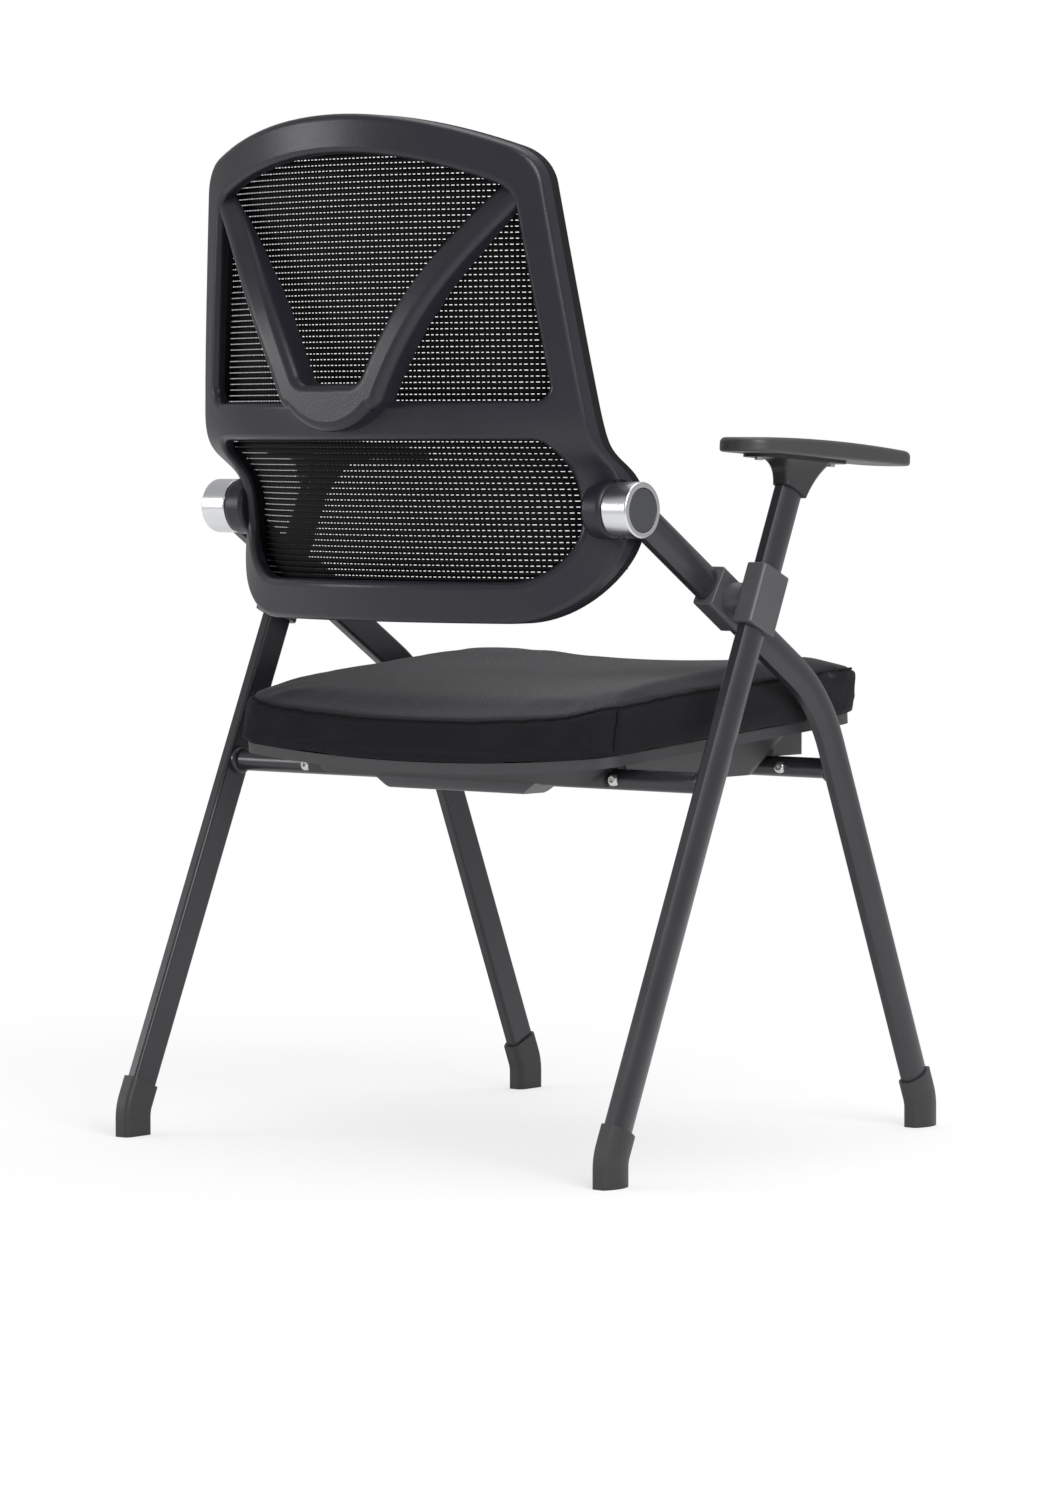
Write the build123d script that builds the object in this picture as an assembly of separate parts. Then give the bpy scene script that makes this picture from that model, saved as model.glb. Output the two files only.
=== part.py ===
"""Folding training chair with arms, a flip-up seat and a sprung mesh back.

Frame: +Z up, the sitter faces -Y, +X is the sitter's left.  Millimetres.
The origin is on the floor, under the middle of the chair.
"""
from build123d import *
import os
from math import cos, hypot, pi, radians, sin, sqrt, tan

# Leg tubes: D section with a flat inner side and a domed outer face
TUBE_DEPTH = 30.0
TUBE_WIDTH = 15.0
TUBE_DOME = 5.0
TUBE_CORNER = 3.0
TUBE_WALL = 1.5
FRONT_PLANE = 243.0
REAR_PLANE = 286.0

# Stance: each leg line starts at floor level and leans by an angle from the floor
FRONT_FLOOR_Y = -289.0
REAR_FLOOR_Y = 257.6
FRONT_LEG_ANGLE = 67.2
REAR_LEG_ANGLE = 66.1
ARM_TUBE_ANGLE = 32.4
FRONT_BEND_RADIUS = 150.0
PIVOT_HEIGHT = 506.5
HUB_REACH = 151.0

# Cross tubes and their weld collars
CROSS_DIAMETER = 19.0
CROSS_WALL = 1.5
CROSS_HEIGHT = 345.0
COLLAR_DIAMETER = 26.0
COLLAR_LENGTH = 5.0

# Feet
FOOT_WALL = 2.5
FOOT_BEND_HEIGHT = 25.0
FOOT_BEND_RADIUS = 40.0
FOOT_GRIP = 27.0
TUBE_END_RISE = 4.0

# Fold pivot between front and rear frames
SLEEVE_WALL_DEEP = 5.0
SLEEVE_WALL_SIDE = 3.5
SLEEVE_CORNER = 4.0
OUTER_SLEEVE_LENGTH = 57.0
INNER_SLEEVE_LENGTH = 48.0
BARREL_DIAMETER = 12.0
BARREL_FLANGE_DIAMETER = 18.0
BARREL_FLANGE = 1.8
PIVOT_BOLT_DIAMETER = 8.0
PIVOT_HEAD_DIAMETER = 17.0
PIVOT_HEAD = 2.4
SPACER_DIAMETER = 30.0
WASHER_THICKNESS = 1.5

# Back hub on the front frame
HUB_DIAMETER = 50.0
HUB_INNER_X = 224.5
HUB_LENGTH = 28.0
HUB_WEB = 5.0
HUB_BORE_DIAMETER = 40.0
HUB_PLUG_REACH = 42.0
HUB_TUBE_GAP = 15.0
HUB_CAP_THICKNESS = 4.5
HUB_CAP_SET = 0.4
HUB_EDGE = 1.6
AXLE_DIAMETER = 12.0
AXLE_HEAD_DIAMETER = 22.0
AXLE_HEAD = 3.0
AXLE_SINK = 12.0
BOSS_DIAMETER = 53.0
BOSS_LENGTH = 23.0
BOSS_ROUND = 5.0
HUB_RELIEF = 2.0

# Arms
ARM_NECK_DROP = 30.1
ARM_NECK_WALL = 2.0
ARM_SOCKET = 10.0
ARM_TILT = 3.5
ARM_HEIGHT = 633.5
ARM_SHIFT = 5.1
FLANGE_LENGTH = 126.0
FLANGE_WIDTH = 36.0
FLANGE_CORNER = 14.0
FLANGE_THICKNESS = 3.0
FLARE_LENGTH = 90.0
FLARE_WIDTH = 31.0
FLARE_WAIST_LENGTH = 52.0
FLARE_WAIST_WIDTH = 24.0
PAD_LENGTH = 246.0
PAD_WIDTH = 56.0
PAD_Y = -26.0
PAD_PLANE = 290.0
PAD_THICKNESS = 16.0
PAD_END_THICKNESS = 12.0
PAD_CORNER = 24.0
PAD_ROUND = 5.0
PAD_SPARE = 6.0
ARM_SCREW_DIAMETER = 5.0
ARM_SCREW_HEAD = 8.0
ARM_SCREW_HEAD_HEIGHT = 2.6
ARM_SCREW_PITCH = 108.0
ARM_SCREW_BITE = 8.0

# Seat, in a tilted frame whose plane is the underside of the cushion
SEAT_HEIGHT = 369.5
SEAT_TILT = 4.0
SEAT_HALF_WIDTH = 228.0
SEAT_REAR_HALF = 226.0
SEAT_FRONT_HALF = 222.0
SEAT_REAR = 178.0
SEAT_REAR_BULGE = 6.0
SEAT_FRONT = -230.0
SEAT_FRONT_BULGE = 10.0
SEAT_REAR_CORNER = 32.0
SEAT_FRONT_CORNER = 54.0
SEAT_DISH = 12.0
CUSHION_REAR = 45.0
CUSHION_FRONT = 46.0
CUSHION_NOSE = 30.0
CUSHION_CROWN = 55.0
CUSHION_DRAW_IN = 7.0
CUSHION_ROUND = 9.0
BOARD_INSET = 16.0
BOARD_THICKNESS = 9.0
SHELL_WALL = 3.5
SHELL_LIP = 10.0
SHELL_INSET = 7.0
TRAY_FLOOR = 338.5
TRAY_HALF_WIDTH = 172.0
TRAY_TOP_HALF_WIDTH = 198.0
TRAY_CORNER = 22.0
TRAY_TOP_CORNER = 44.0
TRAY_TOP_RISE = 24.0
TRAY_FRONT_BEHIND = 26.0
TRAY_REAR_BEHIND = 15.0
TRAY_FLARE_FRONT = 61.0
TRAY_FLARE_REAR = 52.0
SADDLE_INNER = 128.0
SADDLE_OUTER = 177.0
SADDLE_SHOULDER = 6.0
SADDLE_DIAMETER = 33.0
REST_AHEAD = 32.0
REST_BEHIND = 12.0
REST_SPIGOT_DIAMETER = 7.0
REST_SPIGOT_AHEAD = 25.5
CLAMP_HALF_LENGTH = 96.0
CLAMP_AHEAD = 21.0
CLAMP_BEHIND = 14.5
CLAMP_DROP = 10.5
CLAMP_ROUND = 4.0
CLAMP_TAPER = 16.0
CLAMP_SCREW_DIAMETER = 4.0
CLAMP_SCREW_HEAD = 7.5
CLAMP_SCREW_HEAD_HEIGHT = 2.5
CLAMP_SCREW_LENGTH = 17.0
CLAMP_SCREW_X = 62.0
CLAMP_POST_DIAMETER = 10.0
SEAT_SCREW_DIAMETER = 5.0
SEAT_SCREW_HEAD = 10.0
SEAT_SCREW_HEAD_HEIGHT = 2.5
SEAT_SCREW_BITE = 7.0
SEAT_SCREW_X = 207.0
SEAT_SCREW_Y = 95.0
STOP_BOLT_X = 184.0
STOP_BOLT_DIAMETER = 6.0
STOP_HEAD_DIAMETER = 11.0
STOP_HEAD = 5.0

# Backrest: its rear surface leans, bends forward below the shoulder and wraps round to the hubs
BACK_WING_X = 230.0
BACK_DEPTH = 279.0
BACK_LEAN = 0.036
BACK_LEAN_HEIGHT = 720.0
BACK_BEND_HEIGHT = 655.0
BACK_BEND_SLOPE = 0.205
BACK_BEND_BLEND = 30.0
WING_DEPTH = 69.0
WING_HUB_DEPTH = 44.0
WING_HUB_HEIGHT = 604.0
WING_HUB_RISE = 52.0
WING_HUB_FALL = 165.0
BACK_LOW_SECTION = 465.0
BACK_SECTION_STEP = 20.0
BACK_SECTIONS = 26
BACK_THICKNESS = 14.0
BACK_BOTTOM = 486.0
BACK_LOWER_HALF = 227.0
BACK_SHOULDER_HALF = 228.0
BACK_SHOULDER_HEIGHT = 655.0
BACK_TOP_HALF = 194.0
BACK_TOP_CORNER_HEIGHT = 897.0
BACK_TOP = 938.0
BACK_BOTTOM_CORNER = 90.0
BACK_TOP_CORNER = 40.0
RAIL = 30.0
UPPER_RAIL = 24.0
LOWER_SIDE_RAIL = 33.0
LOWER_RAIL = 37.0
TOP_RAIL = 35.0
TOP_CORNER_RAIL = 29.0
BACK_SHOULDER_ROUND = 200.0
CROSSBAR_LOW = 649.0
CROSSBAR_HIGH = 683.0
OPENING_CORNER = 14.0
LOWER_OPENING_CORNER = 58.0
UPPER_OPENING_TOP_CORNER = 24.0
SPINE_WIDTH = 29.0
SPINE_CROTCH = 14.0
SPINE_CROTCH_Z = 699.0
SPINE_FOOT_X = 46.0
SPINE_FOOT_Z = 690.0
SPINE_MID_X = 110.0
SPINE_MID_Z = 798.0
SPINE_TOP_X = 176.0
SPINE_TOP_Z = 874.0
SPINE_BASE_HALF = 59.0
SPINE_BASE_LOW = 656.0
SPINE_PROFILE = ((295.5, 640.0), (295.5, 690.0), (283.0, 782.0), (237.0, 878.0), (226.0, 900.0))
SPINE_THICKNESS = 26.0
SPINE_SINK = 1.0
SPINE_ROUND = 9.0
FRAME_ROUND = 6.0
CARRIER_THICKNESS = 10.0
CARRIER_WIDTH = 20.0
CARRIER_HUB_WIDTH = 31.0
MESH_THICKNESS = 1.2
MESH_INSET = 4.0

# Clearances
FIT = 0.05
RUNNING = 0.08
APART = 0.3

LEFT, RIGHT = "left", "right"


def line_y(floor_y, angle, height):
    """Depth of a leg line at one height: the angle is from the floor, towards the pivot."""
    return floor_y + height / tan(radians(angle))


def front_y(height):
    return line_y(FRONT_FLOOR_Y, FRONT_LEG_ANGLE, height)


def rear_y(height):
    return line_y(REAR_FLOOR_Y, -REAR_LEG_ANGLE, height)


FRONT_DIR = Vector(0, cos(radians(FRONT_LEG_ANGLE)), sin(radians(FRONT_LEG_ANGLE)))
REAR_DIR = Vector(0, -cos(radians(REAR_LEG_ANGLE)), sin(radians(REAR_LEG_ANGLE)))
ARM_DIR = Vector(0, cos(radians(ARM_TUBE_ANGLE)), sin(radians(ARM_TUBE_ANGLE)))
PIVOT = Vector(0, rear_y(PIVOT_HEIGHT), PIVOT_HEIGHT)
HUB = PIVOT + ARM_DIR * HUB_REACH
FRONT_TUBE = Vector(0, front_y(CROSS_HEIGHT), CROSS_HEIGHT)
REAR_TUBE = Vector(0, rear_y(CROSS_HEIGHT), CROSS_HEIGHT)
FRONT_INNER_FACE = FRONT_PLANE - TUBE_WIDTH / 2
FRONT_OUTER_FACE = FRONT_PLANE + TUBE_WIDTH / 2
REAR_INNER_FACE = REAR_PLANE - TUBE_WIDTH / 2
REAR_OUTER_FACE = REAR_PLANE + TUBE_WIDTH / 2


def at_x(point, x):
    return Vector(x, point.Y, point.Z)


def across(centre, start, end, diameter):
    """Cylinder along X through a point of the side view."""
    plane = Plane(origin=at_x(centre, start), z_dir=(1, 0, 0))
    return extrude(plane * Circle(diameter / 2), end - start)


def ring_across(centre, start, end, outer, inner):
    """Tube along X through a point of the side view."""
    plane = Plane(origin=at_x(centre, start), z_dir=(1, 0, 0))
    return extrude(plane * (Circle(outer / 2) - Circle(inner / 2)), end - start)


def d_face(plane, grow=0.0):
    """Section of a leg tube, larger all round by grow; local Y points outwards."""
    half_depth = TUBE_DEPTH / 2 + grow
    half_width = TUBE_WIDTH / 2 + grow
    shoulder = half_width - TUBE_DOME
    outline = Polyline(
        (half_depth, shoulder), (half_depth, -half_width), (-half_depth, -half_width), (-half_depth, shoulder)
    )
    outline += ThreePointArc((-half_depth, shoulder), (0, half_width), (half_depth, shoulder))
    face = make_face(outline)
    return plane * fillet(face.vertices().group_by(Axis.Y)[0], max(TUBE_CORNER + grow, 0.5))


def tube_plane(point, direction, x):
    """Plane square to a leg tube, with local Y along +X."""
    return Plane(origin=at_x(point, x), x_dir=(0, -direction.Z, direction.Y), z_dir=direction)


def straight(point, direction, x, length, grow=0.0):
    """Straight length of D section from a point."""
    return extrude(d_face(tube_plane(point, direction, x), grow), length)


def mirrored(shape):
    return mirror(shape, about=Plane.YZ)


def pair(name, shape):
    """A left piece and its mirror image, as two nodes."""
    return {f"{name}_{LEFT}": shape, f"{name}_{RIGHT}": mirrored(shape)}


def both(shape):
    """A left piece and its mirror image in one node."""
    return Compound(children=[*shape.solids(), *mirrored(shape).solids()])


# Front frame

TUBE_END_HEIGHT = FOOT_BEND_HEIGHT + TUBE_END_RISE
BEND = (FRONT_FLOOR_Y * tan(radians(FRONT_LEG_ANGLE)) + PIVOT.Z - PIVOT.Y * tan(radians(ARM_TUBE_ANGLE))) / (
    tan(radians(FRONT_LEG_ANGLE)) - tan(radians(ARM_TUBE_ANGLE))
)
BEND_POINT = Vector(0, BEND, (BEND - FRONT_FLOOR_Y) * tan(radians(FRONT_LEG_ANGLE)))


def front_leg():
    """Bent tube from the foot, past the fold pivot, to the hub barrel that its end is coped to."""
    start = Vector(FRONT_PLANE, front_y(TUBE_END_HEIGHT), TUBE_END_HEIGHT)
    end = at_x(HUB - ARM_DIR * HUB_TUBE_GAP, FRONT_PLANE)
    path = FilletPolyline(start, at_x(BEND_POINT, FRONT_PLANE), end, radius=FRONT_BEND_RADIUS)
    plane = tube_plane(start, FRONT_DIR, FRONT_PLANE)
    leg = sweep(d_face(plane), path=path) - sweep(d_face(plane, -TUBE_WALL), path=path)
    leg -= across(PIVOT, FRONT_INNER_FACE - 1, FRONT_OUTER_FACE + 1, PIVOT_BOLT_DIAMETER + 2 * FIT)
    return leg - across(HUB, FRONT_INNER_FACE - 1, FRONT_OUTER_FACE + 1, HUB_DIAMETER + 2 * FIT)


def rear_leg():
    """Straight tube from the foot to the arm bracket."""
    start = Vector(0, rear_y(TUBE_END_HEIGHT), TUBE_END_HEIGHT)
    length = (NECK_START - start).length + ARM_SOCKET
    leg = straight(start, REAR_DIR, REAR_PLANE, length)
    leg -= straight(start, REAR_DIR, REAR_PLANE, length, -TUBE_WALL)
    leg -= across(PIVOT, REAR_INNER_FACE - 1, REAR_OUTER_FACE + 1, BARREL_DIAMETER + 2 * RUNNING)
    return leg


def cross_tube(centre, half_length):
    """Round tube that ends on the flat inner faces of two legs, drilled for its stop bolts."""
    tube = ring_across(centre, -half_length, half_length, CROSS_DIAMETER, CROSS_DIAMETER - 2 * CROSS_WALL)
    for x in (-STOP_BOLT_X, STOP_BOLT_X):
        plane = Plane(origin=at_x(centre, x), z_dir=(0, 1, 0))
        tube -= extrude(plane * Circle(STOP_BOLT_DIAMETER / 2 + FIT), CROSS_DIAMETER, both=True)
    return tube


def collar(centre, face):
    """Rounded weld collar where a cross tube meets a leg."""
    ring = ring_across(centre, face - COLLAR_LENGTH, face, COLLAR_DIAMETER, CROSS_DIAMETER + 2 * FIT)
    rim = ring.edges().filter_by(GeomType.CIRCLE).group_by(Axis.X)[0].sort_by(SortBy.RADIUS)[-1]
    return fillet(rim, min(COLLAR_LENGTH, (COLLAR_DIAMETER - CROSS_DIAMETER) / 2) * 0.8)


def foot(x, floor_y, direction):
    """Moulded cap: grips the slanted tube and turns upright to a flat sole."""
    top = Vector(x, floor_y, 0) + direction * (FOOT_BEND_HEIGHT / direction.Z + FOOT_GRIP)
    knee = Vector(x, floor_y, 0) + direction * (FOOT_BEND_HEIGHT / direction.Z)
    sole = Vector(x, knee.Y, 0)
    path = FilletPolyline(top, knee, sole, radius=FOOT_BEND_RADIUS)
    cap = sweep(d_face(tube_plane(top, direction, x), FOOT_WALL), path=path)
    tube_end = Vector(0, floor_y, 0) + direction * (TUBE_END_HEIGHT / direction.Z)
    return cap - straight(tube_end, direction, x, 2 * FOOT_GRIP, FIT)


def stop_bolts(centre):
    """Button-head bolts through a cross tube, either side of the seat bosses."""
    bolts = []
    for x in (-STOP_BOLT_X, STOP_BOLT_X):
        plane = Plane(origin=at_x(centre, x), z_dir=(0, 1, 0))
        shank = extrude(plane.offset(-CROSS_DIAMETER / 2) * Circle(STOP_BOLT_DIAMETER / 2), CROSS_DIAMETER)
        head = extrude(plane.offset(CROSS_DIAMETER / 2 + FIT) * Circle(STOP_HEAD_DIAMETER / 2), STOP_HEAD)
        head = fillet(head.edges().filter_by(GeomType.CIRCLE).sort_by(Axis.Y)[-1], STOP_HEAD * 0.45)
        link = extrude(plane.offset(CROSS_DIAMETER / 2 - 1) * Circle(STOP_BOLT_DIAMETER / 2), 2)
        socket_floor = plane.offset(CROSS_DIAMETER / 2 + STOP_HEAD * 0.45)
        socket = socket_floor * RegularPolygon(STOP_BOLT_DIAMETER * 0.38, 6)
        bolts.append(shank + link + head - extrude(socket, STOP_HEAD))
    return Compound(children=[solid for bolt in bolts for solid in bolt.solids()])


def sleeve(direction, x, length):
    """Moulded sleeve round a leg tube at the fold pivot."""
    plane = tube_plane(PIVOT - direction * (length / 2), direction, x)
    block = extrude(
        plane * RectangleRounded(
            TUBE_DEPTH + 2 * SLEEVE_WALL_DEEP, TUBE_WIDTH + 2 * SLEEVE_WALL_SIDE, SLEEVE_CORNER
        ),
        length,
    )
    ends = block.faces().sort_by(Axis(PIVOT, direction))
    block = fillet(ends[0].edges() + ends[-1].edges(), SLEEVE_WALL_SIDE * 0.4)
    return block - straight(PIVOT - direction * length, direction, x, 2 * length, FIT)


INNER_SLEEVE_IN = FRONT_INNER_FACE - SLEEVE_WALL_SIDE
INNER_SLEEVE_OUT = FRONT_OUTER_FACE + SLEEVE_WALL_SIDE
OUTER_SLEEVE_IN = REAR_INNER_FACE - SLEEVE_WALL_SIDE
SPACER_END = OUTER_SLEEVE_IN - APART - WASHER_THICKNESS
FLANGE_START = REAR_OUTER_FACE + APART / 2
BOLT_SEAT = FRONT_INNER_FACE - SLEEVE_WALL_SIDE + PIVOT_HEAD + APART


def inner_sleeve():
    """Sleeve on the front tube with the spacer boss that the rear frame turns against."""
    body = sleeve(ARM_DIR, FRONT_PLANE, INNER_SLEEVE_LENGTH)
    body += across(PIVOT, INNER_SLEEVE_OUT - 1, SPACER_END, SPACER_DIAMETER)
    body -= across(PIVOT, FRONT_OUTER_FACE - 1, SPACER_END + 1, BARREL_DIAMETER + 2 * FIT)
    body -= across(PIVOT, INNER_SLEEVE_IN - 1, BOLT_SEAT, PIVOT_HEAD_DIAMETER + 2 * FIT)
    return body - across(PIVOT, INNER_SLEEVE_IN - 1, FRONT_INNER_FACE + 1, PIVOT_BOLT_DIAMETER + 2 * FIT)


def outer_sleeve():
    """Sleeve on the rear leg: a cover over the pivot barrel's flange."""
    body = sleeve(REAR_DIR, REAR_PLANE, OUTER_SLEEVE_LENGTH)
    body -= across(PIVOT, OUTER_SLEEVE_IN - 1, REAR_INNER_FACE + 1, BARREL_DIAMETER + 2 * RUNNING)
    flange_end = FLANGE_START + BARREL_FLANGE + APART
    return body - across(PIVOT, REAR_PLANE, flange_end, BARREL_FLANGE_DIAMETER + 2 * APART)


def pivot_barrel():
    """Flanged barrel nut that carries the rear leg."""
    barrel = across(PIVOT, FRONT_OUTER_FACE, FLANGE_START + BARREL_FLANGE, BARREL_DIAMETER)
    barrel += across(PIVOT, FLANGE_START, FLANGE_START + BARREL_FLANGE, BARREL_FLANGE_DIAMETER)
    return barrel - across(PIVOT, FRONT_OUTER_FACE - 1, REAR_PLANE, PIVOT_BOLT_DIAMETER + 2 * FIT)


def pivot_bolt():
    """Low-head bolt, sunk in the inner sleeve and screwed into the barrel."""
    head = across(PIVOT, BOLT_SEAT - PIVOT_HEAD, BOLT_SEAT, PIVOT_HEAD_DIAMETER)
    head = fillet(head.edges().sort_by(Axis.X)[0], PIVOT_HEAD / 3)
    return head + across(PIVOT, BOLT_SEAT, REAR_PLANE - 2, PIVOT_BOLT_DIAMETER)


def pivot_washer():
    """Slip washer between the spacer boss and the outer sleeve."""
    end = SPACER_END + WASHER_THICKNESS
    return ring_across(PIVOT, SPACER_END, end, SPACER_DIAMETER, BARREL_DIAMETER + 2 * FIT)


# Hubs that carry the back

HUB_OUTER_X = HUB_INNER_X + HUB_LENGTH
HUB_CAP_X = HUB_OUTER_X - HUB_CAP_THICKNESS
AXLE_HEAD_X = HUB_CAP_X - APART - AXLE_HEAD
BOSS_OUTER_X = HUB_INNER_X - APART


def hub_barrel():
    """Turned barrel with a plug in the end of the front tube."""
    barrel = across(HUB, HUB_INNER_X, HUB_OUTER_X, HUB_DIAMETER)
    barrel = fillet(barrel.edges().filter_by(GeomType.CIRCLE), HUB_EDGE)
    plug_end = HUB - ARM_DIR * HUB_PLUG_REACH
    barrel += straight(plug_end, ARM_DIR, FRONT_PLANE, HUB_PLUG_REACH, -TUBE_WALL - FIT)
    barrel -= across(HUB, HUB_INNER_X + HUB_WEB, HUB_OUTER_X + 1, HUB_BORE_DIAMETER)
    return barrel - across(HUB, HUB_INNER_X - 1, HUB_OUTER_X, AXLE_DIAMETER + 2 * RUNNING)


def hub_cap():
    """Cap pressed into the open end of the barrel."""
    cap = across(HUB, HUB_CAP_X, HUB_OUTER_X - HUB_CAP_SET, HUB_BORE_DIAMETER - 2 * FIT)
    return chamfer(cap.edges().sort_by(Axis.X)[-1], 2 * HUB_CAP_SET)


def hub_bush():
    """Rubber torsion bush between the axle and the barrel."""
    start = HUB_INNER_X + HUB_WEB
    inner = AXLE_DIAMETER + 2 * RUNNING
    return ring_across(HUB, start, AXLE_HEAD_X - APART, HUB_BORE_DIAMETER - 2 * FIT, inner)


def hub_axle():
    """Headed axle, fixed in the back's boss and turning in the barrel."""
    axle = across(HUB, BOSS_OUTER_X - AXLE_SINK, AXLE_HEAD_X, AXLE_DIAMETER)
    return axle + across(HUB, AXLE_HEAD_X, AXLE_HEAD_X + AXLE_HEAD, AXLE_HEAD_DIAMETER)


# Arms, on the rear frame

NECK_HEIGHT = ARM_HEIGHT - ARM_NECK_DROP
NECK_START = Vector(0, rear_y(NECK_HEIGHT), NECK_HEIGHT)
ARM_SLOPE = radians(ARM_TILT)
ARM_PLANE = Plane(
    origin=(REAR_PLANE, rear_y(ARM_HEIGHT) + ARM_SHIFT, ARM_HEIGHT),
    x_dir=(0, -cos(ARM_SLOPE), -sin(ARM_SLOPE)),
    z_dir=(0, -sin(ARM_SLOPE), cos(ARM_SLOPE)),
)


def arm_bracket():
    """Flared neck: a socket on the tube that spreads to a flange under the pad."""
    depth = TUBE_DEPTH + 2 * ARM_NECK_WALL
    width = TUBE_WIDTH + 2 * ARM_NECK_WALL
    low = tube_plane(NECK_START, REAR_DIR, REAR_PLANE)
    neck_end = NECK_START + REAR_DIR * ARM_SOCKET
    under = ARM_PLANE.offset(-FLANGE_THICKNESS)
    waist = Plane(
        origin=(at_x(neck_end, REAR_PLANE) + under.origin) * 0.5,
        x_dir=ARM_PLANE.x_dir, z_dir=ARM_PLANE.z_dir + REAR_DIR,
    )
    flare = loft([
        low * RectangleRounded(depth, width, TUBE_CORNER + ARM_NECK_WALL),
        waist * RectangleRounded(FLARE_WAIST_LENGTH, FLARE_WAIST_WIDTH, FLANGE_CORNER / 2),
        under.offset(FLANGE_THICKNESS / 3) * RectangleRounded(FLARE_LENGTH, FLARE_WIDTH, FLANGE_CORNER),
    ])
    flange = extrude(under * RectangleRounded(FLANGE_LENGTH, FLANGE_WIDTH, FLANGE_CORNER), FLANGE_THICKNESS)
    bracket = flare + flange
    bracket -= straight(NECK_START - REAR_DIR, REAR_DIR, REAR_PLANE, 1 + ARM_SOCKET + FIT, FIT)
    for place in arm_screw_places():
        bracket -= extrude(place * Circle(ARM_SCREW_DIAMETER / 2 + FIT), -2 * FLANGE_THICKNESS)
    return bracket


def arm_screw_places():
    """Planes of the two pad screws, on top of the flange."""
    return [Plane(ARM_PLANE.from_local_coords((reach, 0, 0)), ARM_PLANE.x_dir, ARM_PLANE.z_dir)
            for reach in (-ARM_SCREW_PITCH / 2, ARM_SCREW_PITCH / 2)]


def arm_screws():
    """Pan-head screws from under each flange into the pad."""
    screws = []
    for place in arm_screw_places():
        under = place.offset(-FLANGE_THICKNESS - FIT)
        head = extrude(under * Circle(ARM_SCREW_HEAD / 2), -ARM_SCREW_HEAD_HEIGHT)
        shank = extrude(under * Circle(ARM_SCREW_DIAMETER / 2), FLANGE_THICKNESS + ARM_SCREW_BITE)
        screws += (head + shank).solids()
    return both(Compound(children=screws))


def arm_pad():
    """Soft-touch pad: a bowed bar with round ends, thinner at both ends."""
    side = Plane(
        origin=ARM_PLANE.origin + Vector(PAD_PLANE - PAD_WIDTH / 2 - PAD_SPARE - REAR_PLANE, 0, 0),
        x_dir=-ARM_PLANE.x_dir, z_dir=(1, 0, 0),
    )
    rear, front = PAD_Y + PAD_LENGTH / 2 + PAD_SPARE, PAD_Y - PAD_LENGTH / 2 - PAD_SPARE
    outline = Polyline((front, PAD_END_THICKNESS), (front, FIT), (rear, FIT), (rear, PAD_END_THICKNESS))
    outline += ThreePointArc((rear, PAD_END_THICKNESS), (PAD_Y, PAD_THICKNESS), (front, PAD_END_THICKNESS))
    bar = extrude(side * make_face(outline), PAD_WIDTH + 2 * PAD_SPARE)
    middle = ARM_PLANE.origin + Vector(PAD_PLANE - REAR_PLANE, 0, 0) - ARM_PLANE.x_dir * PAD_Y
    plan = Plane(middle, ARM_PLANE.x_dir, ARM_PLANE.z_dir).offset(-PAD_SPARE)
    bar &= extrude(plan * RectangleRounded(PAD_LENGTH, PAD_WIDTH, PAD_CORNER), 3 * PAD_THICKNESS)
    faces = bar.faces().sort_by(Axis(middle, ARM_PLANE.z_dir))
    bar = fillet(faces[-1].edges(), PAD_ROUND)
    bar = fillet(bar.faces().sort_by(Axis(middle, ARM_PLANE.z_dir))[0].edges(), PAD_ROUND / 2)
    for place in arm_screw_places():
        bar -= extrude(place * Circle(ARM_SCREW_DIAMETER / 2 + FIT), ARM_SCREW_BITE + FIT)
    return bar


# Seat

TILT = radians(SEAT_TILT)
SEAT_PLANE = Plane(origin=(0, 0, SEAT_HEIGHT), x_dir=(1, 0, 0), z_dir=(0, sin(TILT), cos(TILT)))
SLAB_HALF = SEAT_HALF_WIDTH + 14.0
SLAB_REACH = SEAT_REAR - SEAT_FRONT


def dish(x):
    """Rise of the seat's dished underside at a distance from its middle."""
    return SEAT_DISH * (x / SEAT_HALF_WIDTH) ** 2


def seat_outline(inset):
    """Plan of the seat, bulged at the front and rear, with round corners."""
    rear, front = SEAT_REAR - inset, SEAT_FRONT + inset
    rear_half, front_half, half = SEAT_REAR_HALF - inset, SEAT_FRONT_HALF - inset, SEAT_HALF_WIDTH - inset
    outline = ThreePointArc((-rear_half, rear), (0, rear + SEAT_REAR_BULGE), (rear_half, rear))
    outline += ThreePointArc((rear_half, rear), (half, 0), (front_half, front))
    outline += ThreePointArc((front_half, front), (0, front - SEAT_FRONT_BULGE), (-front_half, front))
    outline += ThreePointArc((-front_half, front), (-half, 0), (-rear_half, rear))
    face = make_face(outline)
    face = fillet(face.vertices().group_by(Axis.Y)[-1], SEAT_REAR_CORNER - inset)
    return fillet(face.vertices().group_by(Axis.Y)[0], SEAT_FRONT_CORNER - inset)


def dish_face(low, high):
    """Cross-section between two heights above the dished underside, across the whole seat."""
    edge = dish(SLAB_HALF)
    outline = ThreePointArc((-SLAB_HALF, low + edge), (0, low), (SLAB_HALF, low + edge))
    outline += Line((SLAB_HALF, low + edge), (SLAB_HALF, high + edge))
    outline += ThreePointArc((SLAB_HALF, high + edge), (0, high), (-SLAB_HALF, high + edge))
    outline += Line((-SLAB_HALF, high + edge), (-SLAB_HALF, low + edge))
    return make_face(outline)


def cross_plane(reach):
    """Plane across the seat at a distance behind its origin, in the seat's own frame."""
    return Plane(origin=(0, reach, 0), x_dir=(1, 0, 0), z_dir=(0, -1, 0))


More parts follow.
